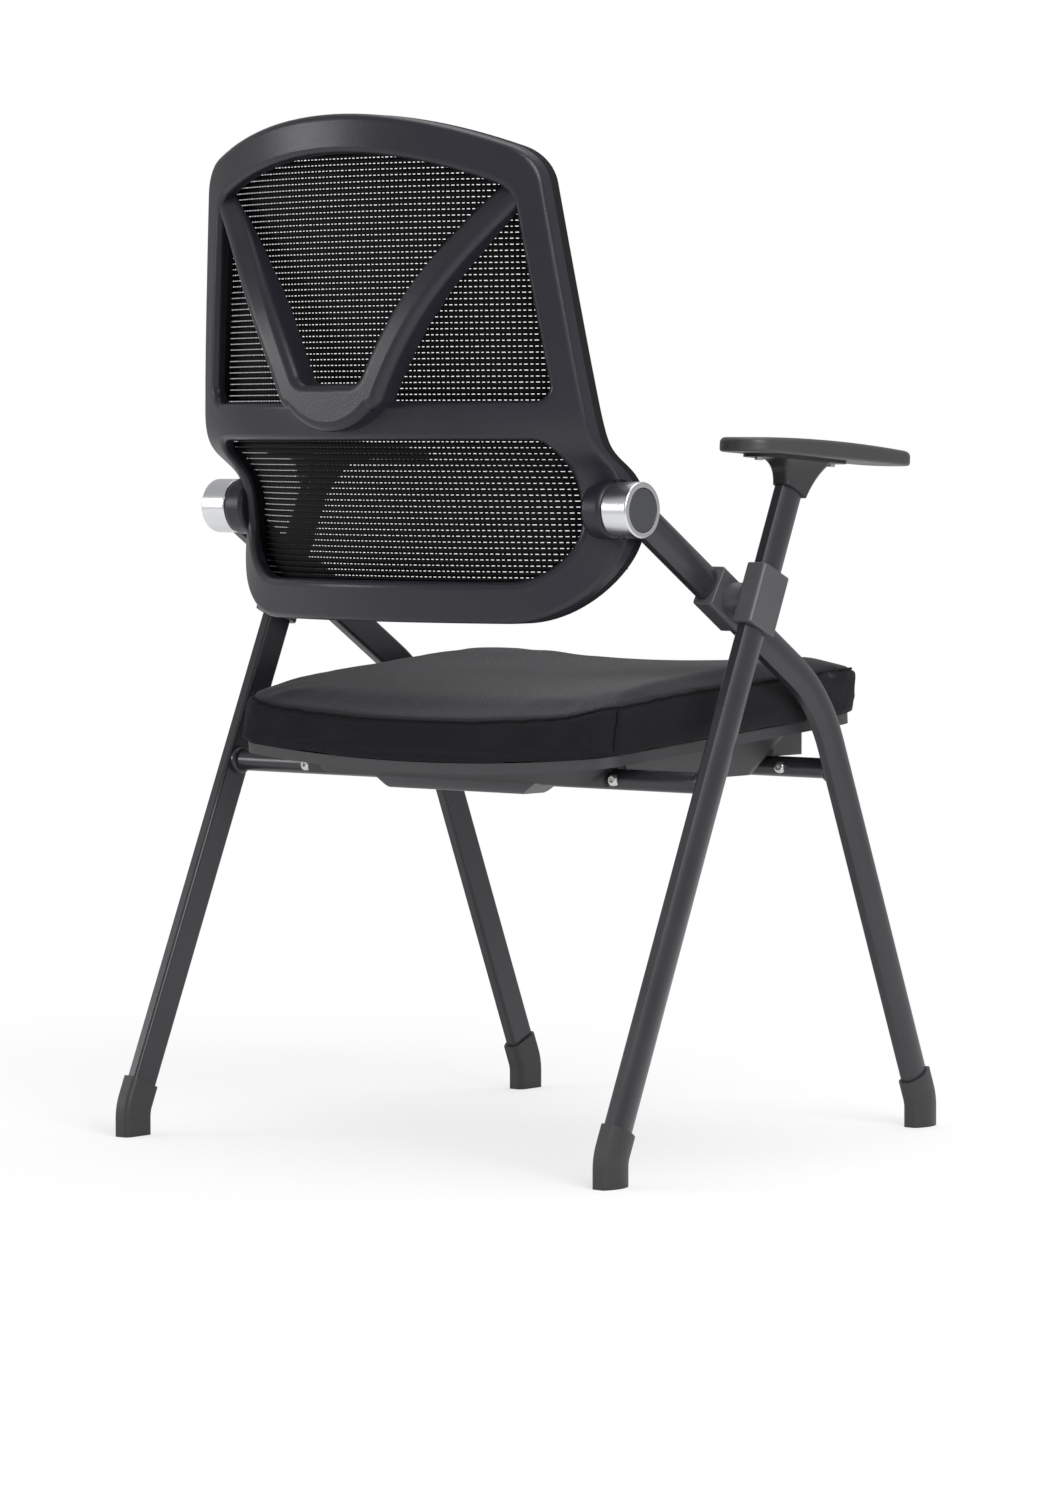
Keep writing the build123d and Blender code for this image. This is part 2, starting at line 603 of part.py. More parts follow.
def dished(low, high):
    """Curved slab under the whole seat, between two heights, in the seat's own frame."""
    return extrude(cross_plane(SLAB_REACH) * dish_face(low, high), 2 * SLAB_REACH)


def seat_prism(inset):
    """Upright prism of the seat's plan, in the seat's own frame."""
    return extrude(seat_outline(inset), SLAB_REACH, both=True)


def on_seat(shape):
    """Move a shape from the seat's own frame to its place."""
    return SEAT_PLANE.location * shape


def seat_cushion():
    """Crowned pad with sides that draw in towards the board, cut out for the board."""
    heights = (
        (SEAT_FRONT - 2 * SEAT_FRONT_BULGE - 10.0, CUSHION_NOSE),
        (SEAT_FRONT + SEAT_FRONT_CORNER, CUSHION_FRONT),
        (0.0, CUSHION_CROWN),
        (SEAT_REAR - 2 * SEAT_REAR_CORNER, CUSHION_CROWN - 3.0),
        (SEAT_REAR + 3 * SEAT_REAR_BULGE, CUSHION_REAR - 2.0),
    )
    slab = loft([cross_plane(reach) * dish_face(FIT, height) for reach, height in heights])
    levels = (
        (-SHELL_LIP, CUSHION_DRAW_IN),
        (CUSHION_REAR * 0.5, 1.0),
        (CUSHION_REAR, 0.0),
        (2 * CUSHION_CROWN, 4.0),
    )
    sides = loft([Plane(origin=(0, 0, height)) * seat_outline(inset) for height, inset in levels])
    pad = slab & sides
    pad = fillet(pad.faces().sort_by(Axis.Z)[-1].edges(), CUSHION_ROUND)
    pocket = dished(-SHELL_LIP, BOARD_THICKNESS + FIT) & seat_prism(BOARD_INSET - FIT)
    return on_seat(pad - pocket)


def seat_screw_places():
    """Planes of the screws that hold the undershell to the board, at the board's underside."""
    return [Plane(SEAT_PLANE.from_local_coords((x, y, dish(x))), (1, 0, 0), SEAT_PLANE.z_dir)
            for x in (-SEAT_SCREW_X, SEAT_SCREW_X) for y in (-SEAT_SCREW_Y, SEAT_SCREW_Y)]


def seat_board():
    """Dished plywood board inside the cushion's underside."""
    board = on_seat(dished(0.0, BOARD_THICKNESS) & seat_prism(BOARD_INSET))
    for place in seat_screw_places():
        board -= extrude(place.offset(-BOARD_THICKNESS) * Circle(SEAT_SCREW_DIAMETER / 2 + FIT),
                         BOARD_THICKNESS + SEAT_SCREW_BITE + FIT)
    return board


def seat_screws():
    """Pan-head screws through the undershell's plate into the board."""
    screws = []
    for place in seat_screw_places():
        under = place.offset(-SHELL_WALL - FIT)
        head = extrude(under * Circle(SEAT_SCREW_HEAD / 2), -SEAT_SCREW_HEAD_HEIGHT)
        shank = extrude(under * Circle(SEAT_SCREW_DIAMETER / 2), SHELL_WALL + SEAT_SCREW_BITE)
        screws += (head + shank).solids()
    return Compound(children=screws)


TRAY_FRONT = FRONT_TUBE.Y + TRAY_FRONT_BEHIND
TRAY_REAR = REAR_TUBE.Y + TRAY_REAR_BEHIND
BORE = CROSS_DIAMETER + 2 * RUNNING
REST_X = (SADDLE_INNER + SADDLE_OUTER) / 2
STOP_SWEEP = 2 * (hypot(CROSS_DIAMETER / 2 + STOP_HEAD, STOP_HEAD_DIAMETER / 2) + APART)


def tray(inset, floor):
    """Tapered tray under the seat, from its floor up past the board."""
    length = TRAY_REAR - TRAY_FRONT - 2 * inset
    middle = (TRAY_REAR + TRAY_FRONT) / 2
    low = RectangleRounded(2 * (TRAY_HALF_WIDTH - inset), length, TRAY_CORNER - inset)
    high = RectangleRounded(
        2 * (TRAY_TOP_HALF_WIDTH - inset),
        length + TRAY_FLARE_FRONT + TRAY_FLARE_REAR,
        TRAY_TOP_CORNER - inset,
    )
    shift = (TRAY_FLARE_REAR - TRAY_FLARE_FRONT) / 2
    return loft([
        Plane(origin=(0, middle, floor)) * low,
        Plane(origin=(0, middle + shift, SEAT_HEIGHT + TRAY_TOP_RISE)) * high,
    ])


def block(x_low, x_high, y_low, y_high, z_low, z_high):
    """Box between two corners."""
    middle = Pos((x_low + x_high) / 2, (y_low + y_high) / 2, (z_low + z_high) / 2)
    return middle * Box(x_high - x_low, y_high - y_low, z_high - z_low)


def clamp_screw_places():
    """Planes of the hinge clamp's screws, on the tray's floor ahead of the rear tube."""
    y = REAR_TUBE.Y - (CLAMP_AHEAD + BORE / 2) / 2
    return [Plane(origin=(x, y, TRAY_FLOOR)) for x in (-CLAMP_SCREW_X, CLAMP_SCREW_X)]


def rest_spigot_places():
    """Planes of the front rests' spigots, at the board's underside."""
    y = FRONT_TUBE.Y - REST_SPIGOT_AHEAD
    return [Plane(SEAT_PLANE.from_local_coords((x, y, dish(x))), (1, 0, 0), SEAT_PLANE.z_dir)
            for x in (-REST_X, REST_X)]


def front_rests():
    """Pads that sit on the front cross tube, with spigots in the undershell's plate."""
    rest = block(
        SADDLE_INNER, SADDLE_OUTER, FRONT_TUBE.Y - REST_AHEAD, FRONT_TUBE.Y + REST_BEHIND,
        CROSS_HEIGHT + CROSS_DIAMETER / 2 + APART, SEAT_HEIGHT + CUSHION_CROWN,
    )
    rest = both(rest - on_seat(dished(-SHELL_WALL - FIT, 2 * SEAT_HEIGHT)) - tray(-FIT, TRAY_FLOOR))
    rests = []
    for pad, place in zip(rest.solids().sort_by(Axis.X), rest_spigot_places()):
        root = place.offset(-2 * SHELL_WALL)
        spigot = extrude(root * Circle(REST_SPIGOT_DIAMETER / 2), 1.75 * SHELL_WALL)
        rests += (pad + spigot).solids()
    return Compound(children=rests)


def rear_saddle(above):
    """Half of a pair of saddles over the rear cross tube, below the board."""
    saddle = across(REAR_TUBE, SADDLE_INNER, SADDLE_OUTER, SADDLE_DIAMETER)
    saddle += block(
        SADDLE_INNER, SADDLE_OUTER - SADDLE_SHOULDER,
        REAR_TUBE.Y - SADDLE_DIAMETER / 2, REAR_TUBE.Y + TRAY_REAR_BEHIND - SHELL_WALL,
        CROSS_HEIGHT, SEAT_HEIGHT + CUSHION_CROWN,
    )
    saddle -= block(
        0, FRONT_PLANE, REAR_TUBE.Y - SADDLE_DIAMETER, REAR_TUBE.Y + SADDLE_DIAMETER, 0, TRAY_FLOOR + FIT
    )
    return saddle - above


def seat_undershell():
    """Moulded lip, plate and tray, with saddles over the rear cross tube and room for its bolts."""
    above = on_seat(dished(-2 * FIT, 2 * SEAT_HEIGHT))
    plan = on_seat(seat_prism(SHELL_INSET))
    plate = on_seat(dished(-SHELL_WALL, -2 * FIT)) & plan
    rim = (on_seat(dished(-SHELL_LIP, -2 * FIT)) & plan) - on_seat(seat_prism(SHELL_INSET + SHELL_WALL))
    shell = plate + rim + (tray(0.0, TRAY_FLOOR) - above)
    shell -= tray(SHELL_WALL, TRAY_FLOOR + SHELL_WALL)
    for place in clamp_screw_places():
        shell += extrude(place * Circle(CLAMP_POST_DIAMETER / 2), SEAT_HEIGHT) - above
    saddle = rear_saddle(above)
    shell += saddle + mirrored(saddle)
    shell -= across(REAR_TUBE, -FRONT_PLANE, FRONT_PLANE, BORE)
    shell -= block(
        -FRONT_PLANE, FRONT_PLANE, REAR_TUBE.Y - BORE / 2, REAR_TUBE.Y + BORE / 2, 0, CROSS_HEIGHT
    )
    reach = STOP_HEAD_DIAMETER / 2 + APART
    bolt_room = across(REAR_TUBE, STOP_BOLT_X - reach, STOP_BOLT_X + reach, STOP_SWEEP)
    shell -= bolt_room + mirrored(bolt_room)
    for place in clamp_screw_places():
        shell -= extrude(place * Circle(CLAMP_SCREW_DIAMETER / 2 + FIT), CLAMP_SCREW_LENGTH)
    for place in seat_screw_places():
        shell -= extrude(place * Circle(SEAT_SCREW_DIAMETER / 2 + FIT), SHELL_LIP, both=True)
        shell -= extrude(place.offset(-SHELL_WALL) * Circle(SEAT_SCREW_HEAD / 2 + FIT), -SHELL_LIP)
    for place in rest_spigot_places():
        shell -= extrude(place * Circle(REST_SPIGOT_DIAMETER / 2 + FIT), 2 * SHELL_WALL, both=True)
    return shell


def seat_hinge_clamp():
    """Long clamp bar, screwed up under the rear cross tube, on which the seat turns."""
    origin = (-CLAMP_HALF_LENGTH, REAR_TUBE.Y, TRAY_FLOOR - FIT)
    plane = Plane(origin=origin, z_dir=(1, 0, 0), x_dir=(0, 1, 0))
    profile = make_face(Polyline(
        (-CLAMP_AHEAD, 0), (CLAMP_BEHIND, 0), (CLAMP_BEHIND, -CLAMP_DROP), (-CLAMP_AHEAD, -CLAMP_DROP),
        close=True,
    ))
    profile = fillet(profile.vertices().group_by(Axis.Y)[0], CLAMP_ROUND)
    bar = extrude(plane * profile, 2 * CLAMP_HALF_LENGTH)
    side = Plane(origin=(0, REAR_TUBE.Y, TRAY_FLOOR - FIT), x_dir=(1, 0, 0), z_dir=(0, -1, 0))
    foot_half = CLAMP_HALF_LENGTH - CLAMP_TAPER
    bar &= extrude(side * make_face(Polyline(
        (-CLAMP_HALF_LENGTH, 0), (CLAMP_HALF_LENGTH, 0), (foot_half, -CLAMP_DROP), (-foot_half, -CLAMP_DROP),
        close=True,
    )), 2 * CLAMP_AHEAD, both=True)
    bar -= across(REAR_TUBE, -FRONT_PLANE, FRONT_PLANE, BORE)
    for place in clamp_screw_places():
        bar -= extrude(place * Circle(CLAMP_SCREW_DIAMETER / 2 + FIT), CLAMP_DROP * 2, both=True)
        sink = place.offset(-CLAMP_DROP - FIT)
        bar -= extrude(sink * Circle(CLAMP_SCREW_HEAD / 2 + FIT), CLAMP_SCREW_HEAD_HEIGHT)
    return bar


def clamp_screws():
    """Screws sunk in the hinge clamp."""
    screws = []
    for place in clamp_screw_places():
        under = place.offset(-CLAMP_DROP + CLAMP_SCREW_HEAD_HEIGHT - 2 * FIT)
        head = extrude(under * Circle(CLAMP_SCREW_HEAD / 2), -CLAMP_SCREW_HEAD_HEIGHT + 4 * FIT)
        screws += (head + extrude(under * Circle(CLAMP_SCREW_DIAMETER / 2), CLAMP_SCREW_LENGTH)).solids()
    return Compound(children=screws)


# Backrest

BACK_VIEW = Plane(origin=(0, 0, 0), x_dir=(1, 0, 0), z_dir=(0, -1, 0))
SLAB_WING_X = BACK_WING_X + 15.0


def back_depth(height):
    """Depth of the back's rear surface on its centre line: a lean with a smooth bend below the shoulder."""
    below = BACK_BEND_HEIGHT - height
    bend = (below + sqrt(below**2 + BACK_BEND_BLEND**2)) / 2
    return BACK_DEPTH + BACK_LEAN * (height - BACK_LEAN_HEIGHT) - BACK_BEND_SLOPE * bend


def wing_depth(height):
    """How far the slab's edges come forward of its centre line: most at the hubs."""
    above = height - WING_HUB_HEIGHT
    reach = min(above / WING_HUB_RISE, 1.0) if above > 0 else above / WING_HUB_FALL
    wing = WING_DEPTH + WING_HUB_DEPTH * (1 + cos(pi * reach)) / 2
    radius = (BACK_WING_X**2 + wing**2) / (2 * wing)
    return radius - sqrt(radius**2 - SLAB_WING_X**2)


def back_slab(rear, front):
    """Curved slab between two depths behind (+) or in front of (-) the back's rear surface."""
    sections = []
    for step in range(BACK_SECTIONS):
        height = BACK_LOW_SECTION + step * BACK_SECTION_STEP
        centre = back_depth(height)
        edge = centre - wing_depth(height)
        outline = ThreePointArc((-SLAB_WING_X, edge + rear), (0, centre + rear), (SLAB_WING_X, edge + rear))
        outline += Line((SLAB_WING_X, edge + rear), (SLAB_WING_X, edge + front))
        outline += ThreePointArc(
            (SLAB_WING_X, edge + front), (0, centre + front), (-SLAB_WING_X, edge + front)
        )
        outline += Line((-SLAB_WING_X, edge + front), (-SLAB_WING_X, edge + rear))
        sections.append(Plane(origin=(0, 0, height)) * make_face(outline))
    return loft(sections)


def through(face):
    """A shape of the rear view, as a prism through the back."""
    return extrude(BACK_VIEW * face, BACK_TOP, both=True)


def back_outline(inset):
    """Rear view of the back: round lower corners, shoulders, tapering to an arched top."""
    low, top = BACK_BOTTOM + inset, BACK_TOP - inset
    lower, shoulder = BACK_LOWER_HALF - inset, BACK_SHOULDER_HALF - inset
    corner, corner_z = BACK_TOP_HALF - inset, BACK_TOP_CORNER_HEIGHT - inset
    outline = Polyline(
        (-corner, corner_z), (-shoulder, BACK_SHOULDER_HEIGHT), (-lower, low), (lower, low),
        (shoulder, BACK_SHOULDER_HEIGHT), (corner, corner_z),
    )
    outline += ThreePointArc((corner, corner_z), (0, top), (-corner, corner_z))
    face = make_face(outline)
    face = fillet(face.vertices().group_by(Axis.Y)[0], BACK_BOTTOM_CORNER - inset)
    tops = [v for v in face.vertices() if abs(v.Y - corner_z) < FIT]
    face = fillet(tops, BACK_TOP_CORNER - inset / 2)
    shoulders = [v for v in face.vertices() if abs(v.Y - BACK_SHOULDER_HEIGHT) < FIT]
    return fillet(shoulders, BACK_SHOULDER_ROUND)


def upper_opening():
    """Opening above the crossbar."""
    low_half = BACK_SHOULDER_HALF - RAIL
    top_half = BACK_TOP_HALF - UPPER_RAIL
    top_z = BACK_TOP_CORNER_HEIGHT - TOP_CORNER_RAIL
    outline = Polyline(
        (-top_half, top_z), (-low_half, CROSSBAR_HIGH), (low_half, CROSSBAR_HIGH), (top_half, top_z)
    )
    outline += ThreePointArc((top_half, top_z), (0, BACK_TOP - TOP_RAIL), (-top_half, top_z))
    face = make_face(outline)
    face = fillet(face.vertices().group_by(Axis.Y)[0], OPENING_CORNER)
    return fillet([v for v in face.vertices() if abs(v.Y - top_z) < FIT], UPPER_OPENING_TOP_CORNER)


def lower_opening():
    """Opening below the crossbar."""
    half = BACK_LOWER_HALF - LOWER_SIDE_RAIL
    low = BACK_BOTTOM + LOWER_RAIL
    corners = ((-half, low), (half, low), (half, CROSSBAR_LOW), (-half, CROSSBAR_LOW))
    face = make_face(Polyline(*corners, close=True))
    face = fillet(face.vertices().group_by(Axis.Y)[0], LOWER_OPENING_CORNER)
    return fillet([v for v in face.vertices() if abs(v.Y - CROSSBAR_LOW) < FIT], OPENING_CORNER)


def spine_face():
    """Rear view of the V spine: two curved arms from a round base to the top corners."""
    arc = ThreePointArc((SPINE_FOOT_X, SPINE_FOOT_Z), (SPINE_MID_X, SPINE_MID_Z), (SPINE_TOP_X, SPINE_TOP_Z))
    arm = make_face(offset(arc, SPINE_WIDTH / 2, side=Side.BOTH, closed=True))
    base = ThreePointArc(
        (-SPINE_BASE_HALF, SPINE_FOOT_Z), (0, SPINE_BASE_LOW), (SPINE_BASE_HALF, SPINE_FOOT_Z)
    )
    base += Polyline(
        (SPINE_BASE_HALF, SPINE_FOOT_Z), (SPINE_FOOT_X, SPINE_CROTCH_Z), (-SPINE_FOOT_X, SPINE_CROTCH_Z),
        (-SPINE_BASE_HALF, SPINE_FOOT_Z),
    )
    face = arm + mirror(arm, about=Plane.YZ) + make_face(base)
    crotch = [v for v in face.vertices() if abs(v.Y - SPINE_CROTCH_Z) < FIT]
    return fillet(crotch, SPINE_CROTCH)


def rearmost(shape):
    """The rearmost of a shape's two largest faces."""
    return shape.faces().sort_by(SortBy.AREA)[-2:].sort_by(Axis.Y)[-1]


def spine():
    """V spine: stands clear of the curved frame at its base and runs into it at the top corners."""
    side = Plane(origin=(-BACK_WING_X, 0, 0), z_dir=(1, 0, 0), x_dir=(0, 1, 0))
    rear = Spline(*SPINE_PROFILE)
    ahead = [(depth - SPINE_THICKNESS, height) for depth, height in SPINE_PROFILE]
    front = Spline(*reversed(ahead))
    outline = rear + Line(SPINE_PROFILE[-1], ahead[-1]) + front + Line(ahead[0], SPINE_PROFILE[0])
    band = extrude(side * make_face(outline), 2 * BACK_WING_X) & through(spine_face())
    band = fillet(rearmost(band).edges(), SPINE_ROUND)
    return band - back_slab(SPINE_SINK - BACK_THICKNESS, -BACK_TOP / 4)


def hub_room():
    """Round relief that keeps the back's edge clear of the hub barrel as it tilts."""
    return across(HUB, BOSS_OUTER_X, SLAB_WING_X, HUB_DIAMETER + 2 * HUB_RELIEF)


def back_frame():
    """Moulded frame with the V spine and the two hub bosses."""
    frame = back_slab(0.0, -BACK_THICKNESS) & through(back_outline(0.0) - upper_opening() - lower_opening())
    frame = fillet(rearmost(frame).edges(), FRAME_ROUND) + spine()
    boss = across(HUB, BOSS_OUTER_X - BOSS_LENGTH, BOSS_OUTER_X, BOSS_DIAMETER)
    boss = fillet(boss.edges().filter_by(GeomType.CIRCLE), BOSS_ROUND)
    boss -= back_slab(-BACK_THICKNESS - CARRIER_THICKNESS + APART, -BACK_THICKNESS - BOSS_DIAMETER)
    axle = across(HUB, BOSS_OUTER_X - AXLE_SINK - FIT, BOSS_OUTER_X + 1, AXLE_DIAMETER + 2 * FIT)
    room = axle + hub_room()
    frame += boss + mirrored(boss)
    return frame - room - mirrored(room)


def mesh_carrier():
    """Thin frame that stretches the mesh over the front of the back, notched round the bosses."""
    ring = back_outline(0.0) - back_outline(CARRIER_WIDTH)
    for middle in (CARRIER_WIDTH - BACK_LOWER_HALF, BACK_LOWER_HALF - CARRIER_WIDTH):
        ring += Pos(middle, HUB.Z) * Rectangle(2 * (CARRIER_HUB_WIDTH - CARRIER_WIDTH), 2 * BOSS_DIAMETER)
    carrier = back_slab(-BACK_THICKNESS - FIT, -BACK_THICKNESS - CARRIER_THICKNESS) & through(ring)
    notch = across(HUB, BOSS_OUTER_X - BOSS_LENGTH - APART, SLAB_WING_X, BOSS_DIAMETER + 2 * HUB_RELIEF)
    return carrier - notch - mirrored(notch)


def back_mesh():
    """Sheet of mesh on the front of its carrier."""
    front = BACK_THICKNESS + CARRIER_THICKNESS
    sheet = back_slab(-front - FIT, -front - MESH_THICKNESS) & through(back_outline(MESH_INSET))
    return sheet - hub_room() - mirrored(hub_room())


def build():
    """Every node of the chair, by name."""
    nodes = {}
    nodes |= pair("front_leg", front_leg())
    nodes |= pair("rear_leg", rear_leg())
    nodes["front_cross_tube"] = cross_tube(FRONT_TUBE, FRONT_INNER_FACE)
    nodes["rear_cross_tube"] = cross_tube(REAR_TUBE, REAR_INNER_FACE)
    nodes["front_tube_collars"] = both(collar(FRONT_TUBE, FRONT_INNER_FACE))
    nodes["rear_tube_collars"] = both(collar(REAR_TUBE, REAR_INNER_FACE))
    nodes |= pair("front_foot", foot(FRONT_PLANE, FRONT_FLOOR_Y, FRONT_DIR))
    nodes |= pair("rear_foot", foot(REAR_PLANE, REAR_FLOOR_Y, REAR_DIR))
    nodes["front_stop_bolts"] = stop_bolts(FRONT_TUBE)
    nodes["rear_stop_bolts"] = stop_bolts(REAR_TUBE)
    nodes |= pair("inner_sleeve", inner_sleeve())
    nodes |= pair("outer_sleeve", outer_sleeve())
    nodes["pivot_barrels"] = both(pivot_barrel())
    nodes["pivot_bolts"] = both(pivot_bolt())
    nodes["pivot_washers"] = both(pivot_washer())
    nodes |= pair("hub_barrel", hub_barrel())
    nodes |= pair("hub_cap", hub_cap())
    nodes |= pair("hub_bush", hub_bush())
    nodes |= pair("hub_axle", hub_axle())
    nodes |= pair("arm_bracket", arm_bracket())
    nodes |= pair("arm_pad", arm_pad())
    nodes["arm_screws"] = arm_screws()
    nodes["seat_cushion"] = seat_cushion()
    nodes["seat_board"] = seat_board()
    nodes["seat_undershell"] = seat_undershell()
    nodes["front_rests"] = front_rests()
    nodes["seat_screws"] = seat_screws()
    nodes["seat_hinge_clamp"] = seat_hinge_clamp()
    nodes["clamp_screws"] = clamp_screws()
    nodes["back_frame"] = back_frame()
    nodes["mesh_carrier"] = mesh_carrier()
    nodes["back_mesh"] = back_mesh()
    return nodes


os.makedirs("parts", exist_ok=True)
for name, shape in build().items():
    export_step(shape, f"parts/{name}.step")
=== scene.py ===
"""Dress the folding training chair: finishes for its CAD pieces, a woven back and a sewn seat cushion.

Frame: metres, +Z up, the sitter faces -Y, +X is the sitter's left.
"""
import logging
import math
from dataclasses import dataclass, field
from enum import Enum

import bmesh
import bpy
from mathutils import Matrix, Vector, kdtree
from mathutils.bvhtree import BVHTree

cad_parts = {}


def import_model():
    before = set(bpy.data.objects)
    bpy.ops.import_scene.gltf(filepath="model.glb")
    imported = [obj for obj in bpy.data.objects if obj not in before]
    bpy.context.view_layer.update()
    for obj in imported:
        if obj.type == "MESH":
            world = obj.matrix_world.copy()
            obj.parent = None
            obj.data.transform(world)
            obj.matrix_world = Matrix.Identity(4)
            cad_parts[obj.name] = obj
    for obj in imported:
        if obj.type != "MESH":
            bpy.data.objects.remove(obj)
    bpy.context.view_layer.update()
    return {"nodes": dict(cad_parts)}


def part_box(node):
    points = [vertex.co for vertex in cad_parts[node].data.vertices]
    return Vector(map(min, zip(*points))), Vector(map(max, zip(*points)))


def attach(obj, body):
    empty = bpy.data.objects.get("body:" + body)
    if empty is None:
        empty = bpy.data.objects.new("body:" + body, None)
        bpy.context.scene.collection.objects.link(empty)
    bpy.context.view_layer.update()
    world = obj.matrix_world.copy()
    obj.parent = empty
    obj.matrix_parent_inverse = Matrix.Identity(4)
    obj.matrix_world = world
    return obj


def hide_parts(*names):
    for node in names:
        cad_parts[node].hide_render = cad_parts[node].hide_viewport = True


LOG = logging.getLogger("chair")
MM = 0.001
FULL_TURN = 2 * math.pi
TINY = 1e-9
MERGE_DISTANCE = 0.01 * MM
RELAX_FACTOR = 0.5
PHOTO_HEIGHT_PX = 1491
FOCAL_PX = 5540.0
SENSOR_MM = 36.0
REARWARD = Vector((0.0, 1.0, 0.0))
UPWARD = Vector((0.0, 0.0, 1.0))
WHITE = "#ffffff"
# The sRGB curve: a straight foot, then a power
SRGB_KNEE, SRGB_SLOPE, SRGB_OFFSET, SRGB_POWER = 0.04045, 12.92, 0.055, 2.4
# Sockets of a Mix node set to colours, by number, because its socket names repeat
MIX_FACTOR, MIX_A, MIX_B, MIX_RESULT = 0, 6, 7, 2
# A wave texture repeats each time its scaled coordinate grows by this much
WAVE_PERIOD = math.pi / 5


class Body(Enum):
    """The moving bodies that new pieces ride on."""

    SEAT = "seat"
    BACK = "backrest"


class Panel(Enum):
    """The cushion's two cloths, by material number."""

    TOP = 0
    SIDE = 1


def linear(hex_colour: str) -> tuple[float, float, float, float]:
    """Turn an sRGB hex colour into a linear one.

    Args:
        hex_colour: six hex digits after a hash sign.
    Returns:
        Linear red, green, blue and an alpha of 1.
    """
    channels = [int(hex_colour[i:i + 2], 16) / 255 for i in (1, 3, 5)]
    red, green, blue = [
        c / SRGB_SLOPE if c <= SRGB_KNEE else ((c + SRGB_OFFSET) / (1 + SRGB_OFFSET)) ** SRGB_POWER
        for c in channels]
    return red, green, blue, 1.0


def add_node(tree: bpy.types.NodeTree, kind: str, sockets: dict, **settings) -> bpy.types.Node:
    """Add a node with its settings, and set or link its inputs.

    Args:
        tree: the node tree.
        kind: the node's Blender type.
        sockets: input name or number to a value, or to an output to link from.
        settings: the node's own properties.
    Returns:
        The new node.
    """
    node = tree.nodes.new(kind)
    for name, value in settings.items():
        setattr(node, name, value)
    for name, value in sockets.items():
        if isinstance(value, bpy.types.NodeSocket):
            tree.links.new(value, node.inputs[name])
        else:
            node.inputs[name].default_value = value
    return node


def per_metre(millimetres: float) -> float:
    """Scale of a noise whose features have one size."""
    return 1.0 / (millimetres * MM)


@dataclass(frozen=True)
class Finish:
    """A surface: its two close colours, its gloss and the size of its grain."""

    name: str
    colour: str
    tint: str
    roughness: float
    grain_mm: float
    grain_depth: float
    cloud_mm: float = 60.0
    rough_spread: float = 0.06
    metallic: float = 0.0
    ior: float = 1.5
    sheen: float = 0.0
    sheen_roughness: float = 0.35
    cloud_detail: float = 3.0
    grain_detail: float = 2.0

    def material(self) -> bpy.types.Material:
        """Make the material, or find the one that is already made.

        Returns:
            The material, which has the finish's name.
        """
        made = bpy.data.materials.get(self.name)
        if made:
            return made
        made = bpy.data.materials.new(self.name)
        made.use_nodes = True
        shader = made.node_tree.nodes["Principled BSDF"]
        shader.inputs["Metallic"].default_value = self.metallic
        if not self.metallic:
            shader.inputs["IOR"].default_value = self.ior
        if self.sheen:
            shader.inputs["Sheen Weight"].default_value = self.sheen
            shader.inputs["Sheen Roughness"].default_value = self.sheen_roughness
        self.dress(made.node_tree, shader)
        return made

    def dress(self, tree: bpy.types.NodeTree, shader: bpy.types.Node) -> None:
        """Add clouds of colour and gloss, and the grain.

        Args:
            tree: the material's node tree.
            shader: its principled shader.
        """
        place = add_node(tree, "ShaderNodeTexCoord", {}).outputs["Object"]
        cloud = add_node(tree, "ShaderNodeTexNoise", {
            "Vector": place, "Scale": per_metre(self.cloud_mm), "Detail": self.cloud_detail}).outputs["Fac"]
        share = self.shade(tree, place, cloud)
        mix = add_node(tree, "ShaderNodeMix", {
            MIX_FACTOR: share, MIX_A: linear(self.colour), MIX_B: linear(self.tint)}, data_type="RGBA")
        tree.links.new(mix.outputs[MIX_RESULT], shader.inputs["Base Color"])
        low, high = self.roughness - self.rough_spread, self.roughness + self.rough_spread
        gloss = add_node(tree, "ShaderNodeMapRange", {"Value": cloud, "To Min": low, "To Max": high})
        tree.links.new(gloss.outputs["Result"], shader.inputs["Roughness"])
        bump = add_node(tree, "ShaderNodeBump", {
            "Height": self.grain(tree, place), "Strength": self.grain_depth, "Distance": MM})
        tree.links.new(bump.outputs["Normal"], shader.inputs["Normal"])

    def shade(self, tree: bpy.types.NodeTree, place: bpy.types.NodeSocket,
              cloud: bpy.types.NodeSocket) -> bpy.types.NodeSocket:
        """Share of the tint at each point: the clouds alone."""
        return cloud

    def grain(self, tree: bpy.types.NodeTree, place: bpy.types.NodeSocket) -> bpy.types.NodeSocket:
        """Height of a sprayed or moulded grain."""
        return add_node(tree, "ShaderNodeTexNoise", {
            "Vector": place, "Scale": per_metre(self.grain_mm), "Detail": self.grain_detail}).outputs["Fac"]


@dataclass(frozen=True)
class TurnedMetal(Finish):
    """Metal from a lathe: fine rings along X."""

    def grain(self, tree: bpy.types.NodeTree, place: bpy.types.NodeSocket) -> bpy.types.NodeSocket:
        """Height of the turning rings, by distance along X."""
        along = add_node(tree, "ShaderNodeSeparateXYZ", {"Vector": place}).outputs["X"]
        return add_node(tree, "ShaderNodeTexNoise", {
            "W": along, "Scale": per_metre(self.grain_mm), "Detail": self.grain_detail},
            noise_dimensions="1D").outputs["Fac"]


